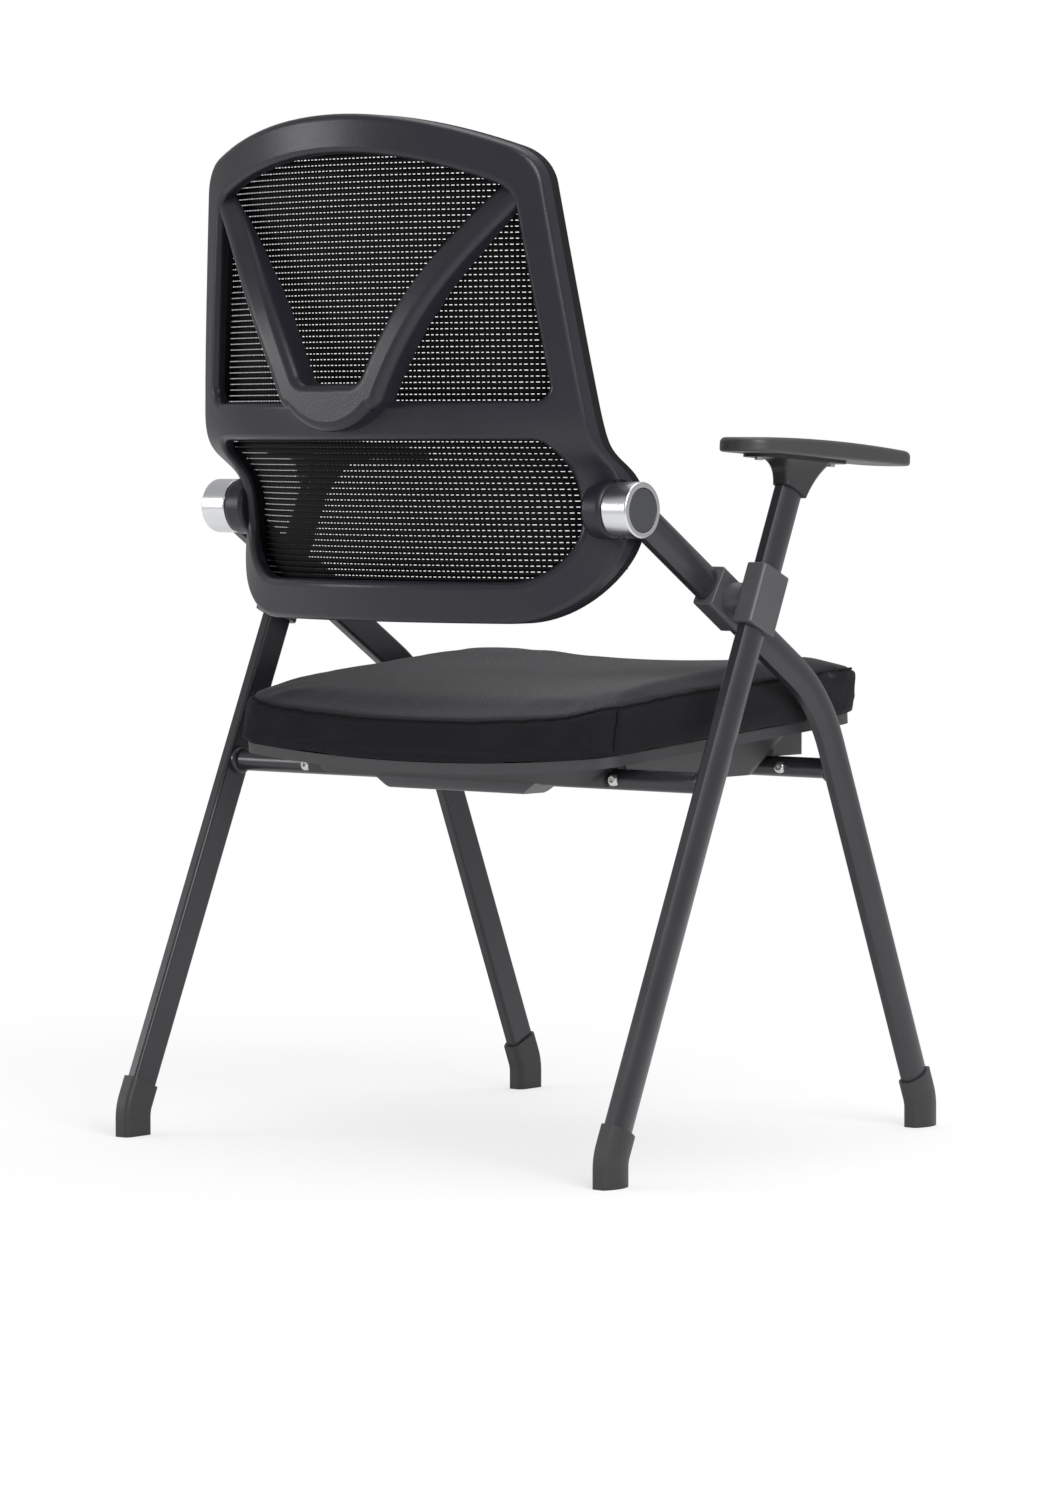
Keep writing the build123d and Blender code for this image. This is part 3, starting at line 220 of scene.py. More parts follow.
@dataclass(frozen=True)
class RadialBrushed(Finish):
    """Metal brushed outwards from an axis along X: streaks by angle, which take the grain's place."""

    axis_y: float = 0.0
    axis_z: float = 0.0
    streaks: float = 34.0
    streak_detail: float = 4.0

    def angle(self, tree: bpy.types.NodeTree, place: bpy.types.NodeSocket) -> bpy.types.NodeSocket:
        """Noise by angle about the axis, the same along each radius.

        Args:
            tree: the material's node tree.
            place: object coordinates.
        Returns:
            The output that carries the noise.
        """
        centred = add_node(tree, "ShaderNodeVectorMath", {0: place, 1: (0.0, -self.axis_y, -self.axis_z)})
        parts = add_node(tree, "ShaderNodeSeparateXYZ", {"Vector": centred.outputs["Vector"]})
        turn = add_node(tree, "ShaderNodeMath", {
            0: parts.outputs["Z"], 1: parts.outputs["Y"]}, operation="ARCTAN2").outputs["Value"]
        return add_node(tree, "ShaderNodeTexNoise", {
            "W": turn, "Scale": self.streaks, "Detail": self.streak_detail},
            noise_dimensions="1D").outputs["Fac"]

    def shade(self, tree: bpy.types.NodeTree, place: bpy.types.NodeSocket,
              cloud: bpy.types.NodeSocket) -> bpy.types.NodeSocket:
        """Share of the tint follows the streaks."""
        return self.angle(tree, place)

    def grain(self, tree: bpy.types.NodeTree, place: bpy.types.NodeSocket) -> bpy.types.NodeSocket:
        """Height follows the streaks."""
        return self.angle(tree, place)


@dataclass(frozen=True)
class Cloth(Finish):
    """Woven cloth: two sets of diagonal threads that cross."""

    wobble: float = 0.6
    wobble_detail: float = 1.0
    wobble_scale: float = 1.5
    thread_highlight_share: float = 0.7
    cloud_share: float = 0.45

    def thread(self, tree: bpy.types.NodeTree, place: bpy.types.NodeSocket,
               turn: float) -> bpy.types.NodeSocket:
        """Height of one set of threads.

        Args:
            tree: the material's node tree.
            place: object coordinates.
            turn: 1 or -1, the sense in which the threads lean across the seat.
        Returns:
            The output that carries the height.
        """
        leaned = add_node(tree, "ShaderNodeVectorMath", {0: place, 1: (1.0, turn, 1.0)}, operation="MULTIPLY")
        # The wave runs along the sum of the coordinates, which grows by root 2 for each metre on a diagonal
        scale = per_metre(self.grain_mm) * WAVE_PERIOD / math.sqrt(2.0)
        return add_node(tree, "ShaderNodeTexWave", {
            "Vector": leaned.outputs["Vector"], "Scale": scale, "Distortion": self.wobble,
            "Detail": self.wobble_detail, "Detail Scale": self.wobble_scale},
            bands_direction="DIAGONAL").outputs["Fac"]

    def grain(self, tree: bpy.types.NodeTree, place: bpy.types.NodeSocket) -> bpy.types.NodeSocket:
        """Height of the weave: the product of both sets, so highest where two threads cross."""
        return add_node(tree, "ShaderNodeMath", {
            0: self.thread(tree, place, 1.0), 1: self.thread(tree, place, -1.0)},
            operation="MULTIPLY").outputs["Value"]

    def shade(self, tree: bpy.types.NodeTree, place: bpy.types.NodeSocket,
              cloud: bpy.types.NodeSocket) -> bpy.types.NodeSocket:
        """Share of the tint: thread tops are painted lighter and the hollows between threads darker, as
        painted highlight and painted shade, in soft clouds.

        Args:
            tree: the material's node tree.
            place: object coordinates.
            cloud: the cloud noise.
        Returns:
            The output that carries the share.
        """
        # Painted highlight on the thread tops and painted shade between the threads, taken from the weave's
        # height
        weave = add_node(tree, "ShaderNodeMath", {
            0: self.grain(tree, place), 1: self.thread_highlight_share}, operation="MULTIPLY")
        soft = add_node(tree, "ShaderNodeMath", {0: cloud, 1: self.cloud_share}, operation="MULTIPLY")
        return add_node(tree, "ShaderNodeMath", {
            0: weave.outputs["Value"], 1: soft.outputs["Value"]}, operation="ADD").outputs["Value"]


# Powder-coated steel: sprayed and baked, so a satin black with a faint orange peel
POWDER_COAT = Finish("powder_coated_steel", "#25252a", "#2d2d32",
                     roughness=0.29, grain_mm=1.8, grain_depth=0.015)
# Glass-filled nylon from a spark-eroded mould: charcoal with a fine even grain and soft highlights
BACK_NYLON = Finish("grained_nylon", "#1c1b22", "#26252d",
                    roughness=0.33, grain_mm=1.3, grain_depth=0.16, cloud_mm=90.0, ior=1.42)
# Polypropylene mouldings: a little greyer and duller than the nylon
SHELL_POLYPROPYLENE = Finish("moulded_polypropylene", "#2d2d30", "#363639",
                             roughness=0.5, grain_mm=1.2, grain_depth=0.14, cloud_mm=80.0)
# Nylon sleeves: dark grey, finely grained
SLEEVE_NYLON = Finish("sleeve_nylon", "#434346", "#4e4e52", roughness=0.4, grain_mm=1.2, grain_depth=0.12)
# Self-skinned polyurethane: soft to the hand, with a leathery low gloss
ARM_SKIN = Finish("polyurethane_skin", "#303032", "#3a3a3c", roughness=0.42, grain_mm=1.6, grain_depth=0.12)
# The brackets under the pads: a plain black moulding
BRACKET_NYLON = Finish("bracket_nylon", "#222224", "#2a2a2d", roughness=0.4, grain_mm=1.2, grain_depth=0.1)
# Moulded rubber: a dull charcoal, uneven in its gloss; the bushes inside the hubs are darker and duller
FOOT_RUBBER = Finish("moulded_foot_rubber", "#262628", "#323234",
                     roughness=0.5, grain_mm=1.5, grain_depth=0.15, cloud_mm=25.0, rough_spread=0.1)
BUSH_RUBBER = Finish("moulded_bush_rubber", "#171718", "#1d1d1e",
                     roughness=0.7, grain_mm=1.0, grain_depth=0.1)
# Turned aluminium: bright, with fine rings from the tool that blur its reflections along the barrel
HUB_ALUMINIUM = TurnedMetal("turned_aluminium", "#cdced1", "#dcdde0",
                            roughness=0.25, grain_mm=0.5, grain_depth=0.05, metallic=1.0)
# Zinc plate: bright but slightly cloudy
ZINC_PLATE = Finish("zinc_plate", "#c2c2bf", "#dadad6",
                    roughness=0.24, grain_mm=0.8, grain_depth=0.03, cloud_mm=6.0, metallic=1.0)
# Birch plywood: pale, and hidden inside the seat
PLYWOOD = Finish("birch_plywood", "#c9a877", "#b8935f",
                 roughness=0.6, grain_mm=3.0, grain_depth=0.1, cloud_mm=30.0)
# Woven polyester: the top cloth is painted lighter, as painted light from above, and the boxing darker, as a
# darker twill and as painted shade; the weave is drawn about twice its real size so that it shows
TOP_CLOTH_PAINTED_LIGHT = Cloth("seat_top_cloth_painted_light", "#1a1a1d", "#333338",
                  roughness=0.85, grain_mm=2.0, grain_depth=0.35, cloud_mm=110.0, ior=1.3, sheen=0.15)
SIDE_CLOTH_PAINTED_SHADE = Cloth("seat_side_twill_painted_shade", "#111113", "#232327",
                   roughness=0.9, grain_mm=2.2, grain_depth=0.4, cloud_mm=90.0, ior=1.25, sheen=0.05)
WELT_CLOTH = Cloth("seat_welt_cloth", "#111112", "#1b1b1d",
                   roughness=0.9, grain_mm=1.2, grain_depth=0.2, ior=1.25)
# Knitted polyester monofilament: black yarn with a dry gloss; the binding and the carrier's cover are duller
MESH_YARN = Cloth("mesh_yarn", "#09090a", "#19191b",
                  roughness=0.6, grain_mm=1.4, grain_depth=0.3, cloud_mm=40.0, ior=1.16)
EDGE_KNIT = Cloth("edge_knit", "#0b0b0c", "#1d1d20",
                  roughness=0.8, grain_mm=2.2, grain_depth=0.5, cloud_mm=40.0, ior=1.3)


def make_piece(name: str, shape: bmesh.types.BMesh, finishes: list[Finish], body: Body) -> bpy.types.Object:
    """Turn a bmesh into a piece that rides on a body.

    Args:
        name: the piece's name.
        shape: its mesh, which is freed.
        finishes: its materials, by material number.
        body: what it moves with.
    Returns:
        The new object.
    """
    mesh = bpy.data.meshes.new(name)
    shape.to_mesh(mesh)
    shape.free()
    piece = bpy.data.objects.new(name, mesh)
    bpy.context.scene.collection.objects.link(piece)
    for finish in finishes:
        mesh.materials.append(finish.material())
    for face in mesh.polygons:
        face.use_smooth = True
    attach(piece, body.value)
    LOG.info("%s: %d faces", name, len(mesh.polygons))
    return piece


def node_shape(node: bpy.types.Object) -> bmesh.types.BMesh:
    """Copy a CAD node's mesh, with its loose triangles merged.

    Args:
        node: the CAD node.
    Returns:
        The copy.
    """
    shape = bmesh.new()
    shape.from_mesh(node.data)
    bmesh.ops.remove_doubles(shape, verts=shape.verts, dist=MERGE_DISTANCE)
    return shape


def search_tree(shape: bmesh.types.BMesh) -> BVHTree:
    """Make the search tree of a surface.

    Args:
        shape: the surface, which is freed.
    Returns:
        The tree.
    """
    tree = BVHTree.FromBMesh(shape)
    shape.free()
    return tree


def thicken(piece: bpy.types.Object, thickness: float) -> None:
    """Give a piece made of single faces its thickness, half to each side.

    Args:
        piece: the piece.
        thickness: its full thickness.
    """
    solid = piece.modifiers.new("thickness", "SOLIDIFY")
    solid.thickness = thickness
    solid.offset = 0.0


def relax(shape: bmesh.types.BMesh, verts: list[bmesh.types.BMVert] | bmesh.types.BMVertSeq,
          passes: int) -> None:
    """Move points halfway to the mean of their neighbours.

    Args:
        shape: the bmesh.
        verts: its points that move.
        passes: how often they move.
    """
    for _ in range(passes):
        bmesh.ops.smooth_vert(shape, verts=verts, factor=RELAX_FACTOR,
                              use_axis_x=True, use_axis_y=True, use_axis_z=True)


@dataclass
class Carcass:
    """The rigid pieces that keep their CAD shape."""

    nodes: dict[str, bpy.types.Object]
    finishes: dict[Finish, list[str]] = field(default_factory=lambda: {
        POWDER_COAT: ["front_leg_left", "front_leg_right", "rear_leg_left", "rear_leg_right",
                      "front_cross_tube", "rear_cross_tube", "front_tube_collars", "rear_tube_collars"],
        FOOT_RUBBER: ["front_foot_left", "front_foot_right", "rear_foot_left", "rear_foot_right"],
        ARM_SKIN: ["arm_pad_left", "arm_pad_right"],
        BRACKET_NYLON: ["arm_bracket_left", "arm_bracket_right"],
        ZINC_PLATE: ["front_stop_bolts", "rear_stop_bolts", "pivot_barrels", "pivot_bolts", "pivot_washers",
                     "hub_axle_left", "hub_axle_right", "arm_screws", "seat_screws", "clamp_screws"],
        HUB_ALUMINIUM: ["hub_barrel_left", "hub_barrel_right"],
        BUSH_RUBBER: ["hub_bush_left", "hub_bush_right"],
        PLYWOOD: ["seat_board"],
        SHELL_POLYPROPYLENE: ["seat_undershell"],
        SLEEVE_NYLON: ["inner_sleeve_left", "inner_sleeve_right", "outer_sleeve_left", "outer_sleeve_right",
                       "seat_hinge_clamp", "front_rests"],
        BACK_NYLON: ["back_frame"],
        EDGE_KNIT: ["mesh_carrier"],
    })

    def dress(self) -> None:
        """Give every kept CAD node its finish."""
        low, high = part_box("hub_cap_left")
        middle = (low + high) / 2
        # Steel cap, brushed from its middle outwards and dark plated
        cap = RadialBrushed("radial_brushed_cap", "#505153", "#7c7d80",
                            roughness=0.38, grain_mm=1.0, grain_depth=0.08, metallic=1.0,
                            axis_y=middle.y, axis_z=middle.z)
        for finish, names in {**self.finishes, cap: ["hub_cap_left", "hub_cap_right"]}.items():
            for name in names:
                materials = self.nodes[name].data.materials
                materials.clear()
                materials.append(finish.material())
            LOG.info("%s: %s", finish.name, ", ".join(names))


@dataclass
class WovenBack:
    """Open mesh of the back: bands across, strands that tie them, and a bound edge on the front."""

    node: bpy.types.Object
    row_pitch: float = 5.25 * MM
    band_height: float = 4.48 * MM
    band_thickness: float = 0.4 * MM
    band_ridge: float = 0.15 * MM
    band_segments: int = 48
    band_rows: int = 2
    strand_pitch: float = 4.7 * MM
    strand_width: float = 2.15 * MM
    strand_thickness: float = 0.24 * MM
    strand_sway: float = 0.6 * MM
    sway_turn: float = 2.4
    strand_segments: int = 30
    hem_width: float = 11.0 * MM
    hem_rise: float = 1.0 * MM
    hem_points: int = 180
    trim: float = 1.2 * MM
    search_steps: int = 22
    look_from: float = -1.0
    flat: tuple[float, float] = (490.0 * MM, 450.0 * MM)
    area: float = 0.172

    def __post_init__(self) -> None:
        """Read the CAD sheet's surface and box."""
        self.surface = search_tree(node_shape(self.node))
        self.low, self.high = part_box("back_mesh")
        self.middle = (self.low + self.high) / 2

    def depth(self, x: float, z: float) -> float | None:
        """Depth of the sheet's front at a point of the front view, or None outside its outline."""
        hit = self.surface.ray_cast(Vector((x, self.look_from, z)), REARWARD)[0]
        return None if hit is None else hit.y

    def reach(self, x: float, z: float, step_x: float, step_z: float) -> float:
        """Find how far the sheet runs from a point in one direction, by halving.

        Args:
            x: start of the search across the back.
            z: start of the search up the back.
            step_x: direction across the back.
            step_z: direction up the back.
        Returns:
            The distance to the sheet's edge, less the trim.
        """
        near, far = 0.0, (self.high - self.low).length
        for _ in range(self.search_steps):
            middle = (near + far) / 2
            if self.depth(x + step_x * middle, z + step_z * middle) is None:
                far = middle
            else:
                near = middle
        return near - self.trim

    def lay(self, verts: list[bmesh.types.BMVert], lift: float) -> None:
        """Put points of the front view on the sheet.

        Args:
            verts: the points.
            lift: how far behind the sheet's front they go.
        """
        for vert in verts:
            vert.co.y = self.depth(vert.co.x, vert.co.z) + lift

    def strip(self, shape: bmesh.types.BMesh, x: float, z: float, half_x: float, half_z: float,
              columns: int, rows: int) -> list[bmesh.types.BMVert]:
        """Add an upright strip of faces to a bmesh.

        Args:
            shape: the bmesh.
            x: middle of the strip across the back.
            z: middle of the strip up the back.
            half_x: half its width.
            half_z: half its height.
            columns: faces across.
            rows: faces up.
        Returns:
            The strip's points.
        """
        place = Matrix.Translation((x, 0.0, z)) @ Matrix.Rotation(math.pi / 2, 4, "X")
        size = Matrix.Diagonal((half_x, half_z, 1.0, 1.0))
        grid = bmesh.ops.create_grid(shape, x_segments=columns, y_segments=rows, size=1.0,
                                     matrix=place @ size)
        return grid["verts"]

    def bands(self) -> bpy.types.Object:
        """Make the wide threads that run across, each with a ridge along its middle.

        Returns:
            The piece that stands for the CAD sheet.
        """
        shape = bmesh.new()
        half = self.band_height / 2
        for row in range(int((self.high.z - self.low.z) / self.row_pitch)):
            z = self.low.z + (row + 0.5) * self.row_pitch
            edges = (z - half, z + half)
            if any(self.depth(0.0, edge) is None for edge in edges):
                continue
            half_width = min(self.reach(0.0, edge, 1.0, 0.0) for edge in edges)
            verts = self.strip(shape, 0.0, z, half_width, half, self.band_segments, self.band_rows)
            self.lay(verts, self.band_thickness / 2)
            for vert in verts:
                if abs(vert.co.z - z) < half / 4:
                    vert.co.y += self.band_ridge
        piece = make_piece("back_mesh_bands", shape, [MESH_YARN], Body.BACK)
        thicken(piece, self.band_thickness)
        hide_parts("back_mesh")
        return piece

    def strands(self) -> bpy.types.Object:
        """Make the narrow threads that run up and tie the bands, each with a slight sway.

        Returns:
            The piece.
        """
        shape = bmesh.new()
        half_count = int(self.high.x / self.strand_pitch)
        for column in range(-half_count, half_count + 1):
            x = column * self.strand_pitch
            side = x + math.copysign(self.strand_width / 2 + self.strand_sway, x)
            if self.depth(side, self.middle.z) is None:
                continue
            up = self.reach(side, self.middle.z, 0.0, 1.0)
            down = self.reach(side, self.middle.z, 0.0, -1.0)
            verts = self.strip(shape, x, self.middle.z + (up - down) / 2, self.strand_width / 2,
                               (up + down) / 2, 1, self.strand_segments)
            for vert in verts:
                vert.co.x += self.strand_sway * math.sin(column * self.sway_turn + vert.co.z / self.row_pitch)
            self.lay(verts, self.band_thickness / 2)
        piece = make_piece("back_mesh_strands", shape, [MESH_YARN], Body.BACK)
        thicken(piece, self.strand_thickness)
        return piece

    def hem(self) -> bpy.types.Object:
        """Make the bound edge: a flat tape sewn round the front of the mesh.

        Returns:
            The piece.
        """
        shape = bmesh.new()
        loops = []
        for inset in (0.0, self.hem_width):
            ring = []
            for step in range(self.hem_points):
                turn = FULL_TURN * step / self.hem_points
                across, upward = math.cos(turn), math.sin(turn)
                reach = self.reach(self.middle.x, self.middle.z, across, upward) - inset
                place = (self.middle.x + across * reach, 0.0, self.middle.z + upward * reach)
                ring.append(shape.verts.new(place))
            self.lay(ring, -self.hem_rise / 2)
            loops += [shape.edges.new((a, b)) for a, b in zip(ring, ring[1:] + ring[:1])]
        bmesh.ops.bridge_loops(shape, edges=loops)
        bmesh.ops.recalc_face_normals(shape, faces=shape.faces)
        piece = make_piece("back_mesh_hem", shape, [EDGE_KNIT], Body.BACK)
        thicken(piece, self.hem_rise)
        return piece

    def build(self) -> None:
        """Make the mesh's pieces."""
        bands, strands, hem = self.bands(), self.strands(), self.hem()


@dataclass
class SeatCushion:
    """Boxed seat cushion: a top cloth, a boxing round it, and the seams that join them."""

    node: bpy.types.Object
    voxel: float = 6.0 * MM
    even_passes: int = 3
    free_passes: int = 4
    last_passes: int = 2
    under_slope: float = -0.2
    pocket_margin: float = 4.0 * MM
    pressure: float = 4.0
    cloth_quality: int = 3
    cloth_stiffness: float = 20.0
    frames: int = 20
    shrink: float = 2.5 * MM
    swell: float = 5.0 * MM
    swell_top: float = 2.0 * MM
    swell_front: float = 6.0 * MM
    front_reach: float = 240.0 * MM
    front_crown: float = 14.0 * MM
    front_lift: float = 7.0 * MM
    crown_taper: float = 1.5
    lift_taper: int = 3
    seam_points: int = 240
    seam_passes: int = 24
    seam_cuts: int = 4
    seam_reach: float = 45.0 * MM
    seam_slope: float = 0.8
    seam_step: float = 1.0 * MM
    seam_drop: float = 1.0 * MM
    groove_width: float = 5.0 * MM
    groove_depth: float = 1.6 * MM
    welt_radius: float = 0.9 * MM
    welt_resolution: int = 2
    corner_side: float = 226.0 * MM
    corner_top_y: float = 152.0 * MM
    corner_low_y: float = 164.0 * MM
    corner_steps: int = 24
    corner_step: float = 1.7 * MM
    lip_slope: float = -0.6

    def __post_init__(self) -> None:
        """Read the CAD cushion's surface and box, and the board's box."""
        self.surface = search_tree(node_shape(self.node))
        self.low, self.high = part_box("seat_cushion")
        self.middle = (self.low + self.high) / 2
        self.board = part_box("seat_board")

    def side_point(self, turn: float, height: float) -> tuple[Vector, Vector] | None:
        """Find the cushion's side, looking in towards the middle.

        Args:
            turn: direction from the middle, as an angle from +X.
            height: height above the floor.
        Returns:
            The point and the normal there, or None where the look passes over the cushion.
        """
        outward = Vector((math.cos(turn), math.sin(turn), 0.0))
        start = Vector((self.middle.x, self.middle.y, height)) + outward
        point, normal, _, _ = self.surface.ray_cast(start, -outward)
        return None if point is None else (point, normal)

    def seam(self, turn: float) -> Vector:
        """Find the top seam in one direction: just under the round of the top edge.

        Args:
            turn: direction from the middle, as an angle from +X.
        Returns:
            The seam's point.
        """
        height = self.high.z
        while height > self.low.z:
            found = self.side_point(turn, height)
            if found and found[1].z < self.seam_slope and found[0].xy.length > self.middle.xy.length:
                return self.side_point(turn, height - self.seam_drop)[0]
            height -= self.seam_step
        return self.middle.copy()

    def seam_loop(self) -> list[Vector]:
        """Draw the top seam, all the way round, as a fair line.

        Returns:
            Its points, anticlockwise from +X.
        """
        loop = [self.seam(FULL_TURN * step / self.seam_points) for step in range(self.seam_points)]
        for _ in range(self.seam_passes):
            loop = [(a + b * 2 + c) / 4 for a, b, c in zip(loop[-1:] + loop[:-1], loop, loop[1:] + loop[:1])]
        return loop

    def corner_seam(self, sign: float) -> list[Vector]:
        """Draw the upright seam near a rear corner, from the top seam to the lip.

        Args:
            sign: 1 for the sitter's left, -1 for the right.
        Returns:
            Its points, from the top down.
        """
        top = math.atan2(self.corner_top_y - self.middle.y, sign * self.corner_side)
        low = math.atan2(self.corner_low_y - self.middle.y, sign * self.corner_side)
        first = self.seam(top)
        points = [first]
        for step in range(1, self.corner_steps + 1):
            turn = top + (low - top) * step / self.corner_steps
            found = self.side_point(turn, first.z - step * self.corner_step)
            if found is None or found[1].z < self.lip_slope:
                break
            points.append(found[0])
        return points

    def build(self) -> None:
        """Make the cushion and its welts."""
        loop = self.seam_loop()
        corners = [self.corner_seam(1.0), self.corner_seam(-1.0)]
        shape = node_shape(self.node)
        bmesh.ops.recalc_face_normals(shape, faces=shape.faces)
        # The top cloth carries painted light from above, and the boxing carries painted shade as well as its
        # darker twill
        piece = make_piece("seat_cushion_cover", shape, [TOP_CLOTH_PAINTED_LIGHT, SIDE_CLOTH_PAINTED_SHADE], Body.SEAT)
        remesh = piece.modifiers.new("remesh", "REMESH")
        remesh.mode = "VOXEL"
        remesh.voxel_size = self.voxel
        self.apply(piece)
        self.even(piece)
        self.shrink_in(piece, loop)
        self.inflate(piece)
        loop = [self.pushed(point, 1.0) for point in loop]
        self.smooth(piece)
        self.sew(piece, loop, corners)
        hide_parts("seat_cushion")

    def apply(self, piece: bpy.types.Object) -> None:
        """Bake a piece's modifiers into its mesh.

        Args:
            piece: the piece.
        """
        baked = bpy.data.meshes.new_from_object(piece.evaluated_get(bpy.context.evaluated_depsgraph_get()))
        old, name = piece.data, piece.data.name
        piece.modifiers.clear()
        piece.data = baked
        bpy.data.meshes.remove(old)
        baked.name = name

    def even(self, piece: bpy.types.Object) -> None:
        """Take the voxel steps out: smooth the mesh, and put each point back on the CAD surface.

        Args:
            piece: the cover, remeshed.
        """
        shape = bmesh.new()
        shape.from_mesh(piece.data)
        for _ in range(self.even_passes):
            relax(shape, shape.verts, 1)
            for vert in shape.verts:
                vert.co = self.surface.find_nearest(vert.co)[0]
        shape.to_mesh(piece.data)
        shape.free()

    def free(self, point: Vector, normal: Vector) -> bool:
        """Whether a point of the cover may move: it is neither underneath nor in the pocket."""
        return normal.z > self.under_slope and not self.in_pocket(point)

    def in_pocket(self, point: Vector) -> bool:
        """Whether a point is on the pocket that holds the board.

        Args:
            point: a point of the cover.
        Returns:
            True where it is.
        """
        low, high = self.board
        inside = all(low[i] - self.pocket_margin < point[i] < high[i] + self.pocket_margin for i in (0, 1))
        return inside and point.z < self.pocket_top(point)

    def pocket_top(self, point: Vector) -> float:
        """Height under which the cushion belongs to its pocket, at a point of the plan."""
        hit = self.surface.ray_cast(Vector((point.x, point.y, 0.0)), UPWARD)[0]
        return (hit.z if hit else self.low.z) + self.pocket_margin

    def near_front(self, point: Vector) -> float:
        """1 at the front edge, 0 from the front reach on backwards."""
        return min(max(1.0 - (point.y - self.low.y) / self.front_reach, 0.0), 1.0)

    def pushed(self, point: Vector, share: float) -> Vector:
        """Move a point of the cover with the front end, which is pushed out and up.

        Args:
            point: where it is on the CAD cushion.
            share: how much of the move it takes, from 0 to 1.
        Returns:
            Where it goes.
        """
        near = self.near_front(point)
        ahead, up = self.front_crown * near ** self.crown_taper, self.front_lift * near ** self.lift_taper
        return point + Vector((0.0, -ahead, up)) * share

    def shrink_in(self, piece: bpy.types.Object, loop: list[Vector]) -> None:
        """Draw the free surface in a little, so that it swells back to size, and push the front end out.

        Args:
            piece: the cover, at the CAD cushion's size.
            loop: the top seam; what is far below it stays.
        """
        normals = [v.normal.copy() for v in piece.data.vertices]
        for vert, normal in zip(piece.data.vertices, normals):
            if self.free(vert.co, normal):
                rise = (vert.co.z - self.edge_at(vert.co, loop).z) / self.seam_reach + 1.0
                share = min(max(rise, 0.0), 1.0)
                vert.co = self.pushed(vert.co, share) - normal * self.shrink * share

    def cap(self, vert: bpy.types.MeshVertex) -> float:
        """Limit how far a point swells: more on the top, most at the front, where the foam is thickest.

        Args:
            vert: the point.
        Returns:
            The greatest distance that it moves.
        """
        up, ahead = max(vert.normal.z, 0.0), max(-vert.normal.y, 0.0)
        front = self.swell_front * self.near_front(vert.co)
        return self.swell + self.swell_top * up + front * max(up, ahead)

    def inflate(self, piece: bpy.types.Object) -> None:
        """Swell the pad as stuffed cloth, with its underside held, and cap how far it moves.

        Args:
            piece: the cover, drawn in.
        """
        mesh = piece.data
        held = piece.vertex_groups.new(name="held")
        held.add([v.index for v in mesh.vertices if not self.free(v.co, v.normal)], 1.0, "REPLACE")
        rest = [v.co.copy() for v in mesh.vertices]
        caps = [self.cap(v) for v in mesh.vertices]
        cloth = piece.modifiers.new("cloth", "CLOTH")
        cloth.settings.vertex_group_mass = held.name
        cloth.settings.use_pressure = True
        cloth.settings.uniform_pressure_force = self.pressure
        cloth.settings.effector_weights.gravity = 0.0
        cloth.settings.quality = self.cloth_quality
        cloth.settings.tension_stiffness = self.cloth_stiffness
        cloth.settings.compression_stiffness = self.cloth_stiffness
        cloth.collision_settings.use_collision = False
        cloth.point_cache.frame_end = self.frames
        for frame_number in range(1, self.frames + 1):
            bpy.context.scene.frame_set(frame_number)
        swollen = piece.evaluated_get(bpy.context.evaluated_depsgraph_get())
        moved = [v.co.copy() for v in swollen.data.vertices]
        piece.modifiers.remove(cloth)
        for vert, start, end, cap in zip(mesh.vertices, rest, moved, caps):
            step = end - start
            vert.co = start + step * min(1.0, cap / max(step.length, TINY))
        bpy.context.scene.frame_set(1)

    def smooth(self, piece: bpy.types.Object) -> None:
        """Smooth what the swelling roughened, subdivide once and smooth again.

        Args:
            piece: the cover.
        """
        shape = bmesh.new()
        shape.from_mesh(piece.data)
        shape.normal_update()
        relax(shape, [v for v in shape.verts if self.free(v.co, v.normal)], self.free_passes)
        bmesh.ops.subdivide_edges(shape, edges=shape.edges, cuts=1, use_grid_fill=True, smooth=0.0)
        relax(shape, shape.verts, self.last_passes)
        shape.to_mesh(piece.data)
        shape.free()

    def edge_at(self, point: Vector, seam: list[Vector]) -> Vector:
        """The seam's point in the same direction from the middle as a given point."""
        turn = math.atan2(point.y - self.middle.y, point.x - self.middle.x) % FULL_TURN
        return seam[round(turn / FULL_TURN * len(seam)) % len(seam)]

    def panel(self, point: Vector, seam: list[Vector]) -> Panel:
        """Choose the cloth that a point belongs to.

        Args:
            point: a point of the cover.
            seam: the top seam.
        Returns:
            The top cloth above the seam or well inside it, else the boxing.
        """
        edge = self.edge_at(point, seam)
        inside = (point.xy - self.middle.xy).length < (edge.xy - self.middle.xy).length - self.groove_width
        above = inside and point.z > self.middle.z
        return Panel.TOP if above or point.z > edge.z else Panel.SIDE

    def sew(self, piece: bpy.types.Object, loop: list[Vector], corners: list[list[Vector]]) -> None:
        """Pull the seams into the cover, lay a welt in each and give each side its cloth.

        Args:
            piece: the cover.
            loop: the top seam.
            corners: the upright seams, the left one first.
        """
        closed = (True, False, False)
        lines = [self.settle(piece, line, round_it) for line, round_it in zip([loop, *corners], closed)]
        search = kdtree.KDTree(sum(len(line) for line in lines))
        for number, point in enumerate(point for line in lines for point in line):
            search.insert(point, number)
        search.balance()
        mesh = piece.data
        cloths = [set() for _ in mesh.vertices]
        for face in mesh.polygons:
            face.material_index = self.panel(face.center, lines[0]).value
            face.use_smooth = True
            for number in face.vertices:
                cloths[number].add(face.material_index)
        normals = [v.normal.copy() for v in mesh.vertices]
        for vert, normal, around in zip(mesh.vertices, normals, cloths):
            point, _, distance = search.find(vert.co)
            if distance < self.groove_width:
                share = 1.0 - (distance / self.groove_width) ** 2
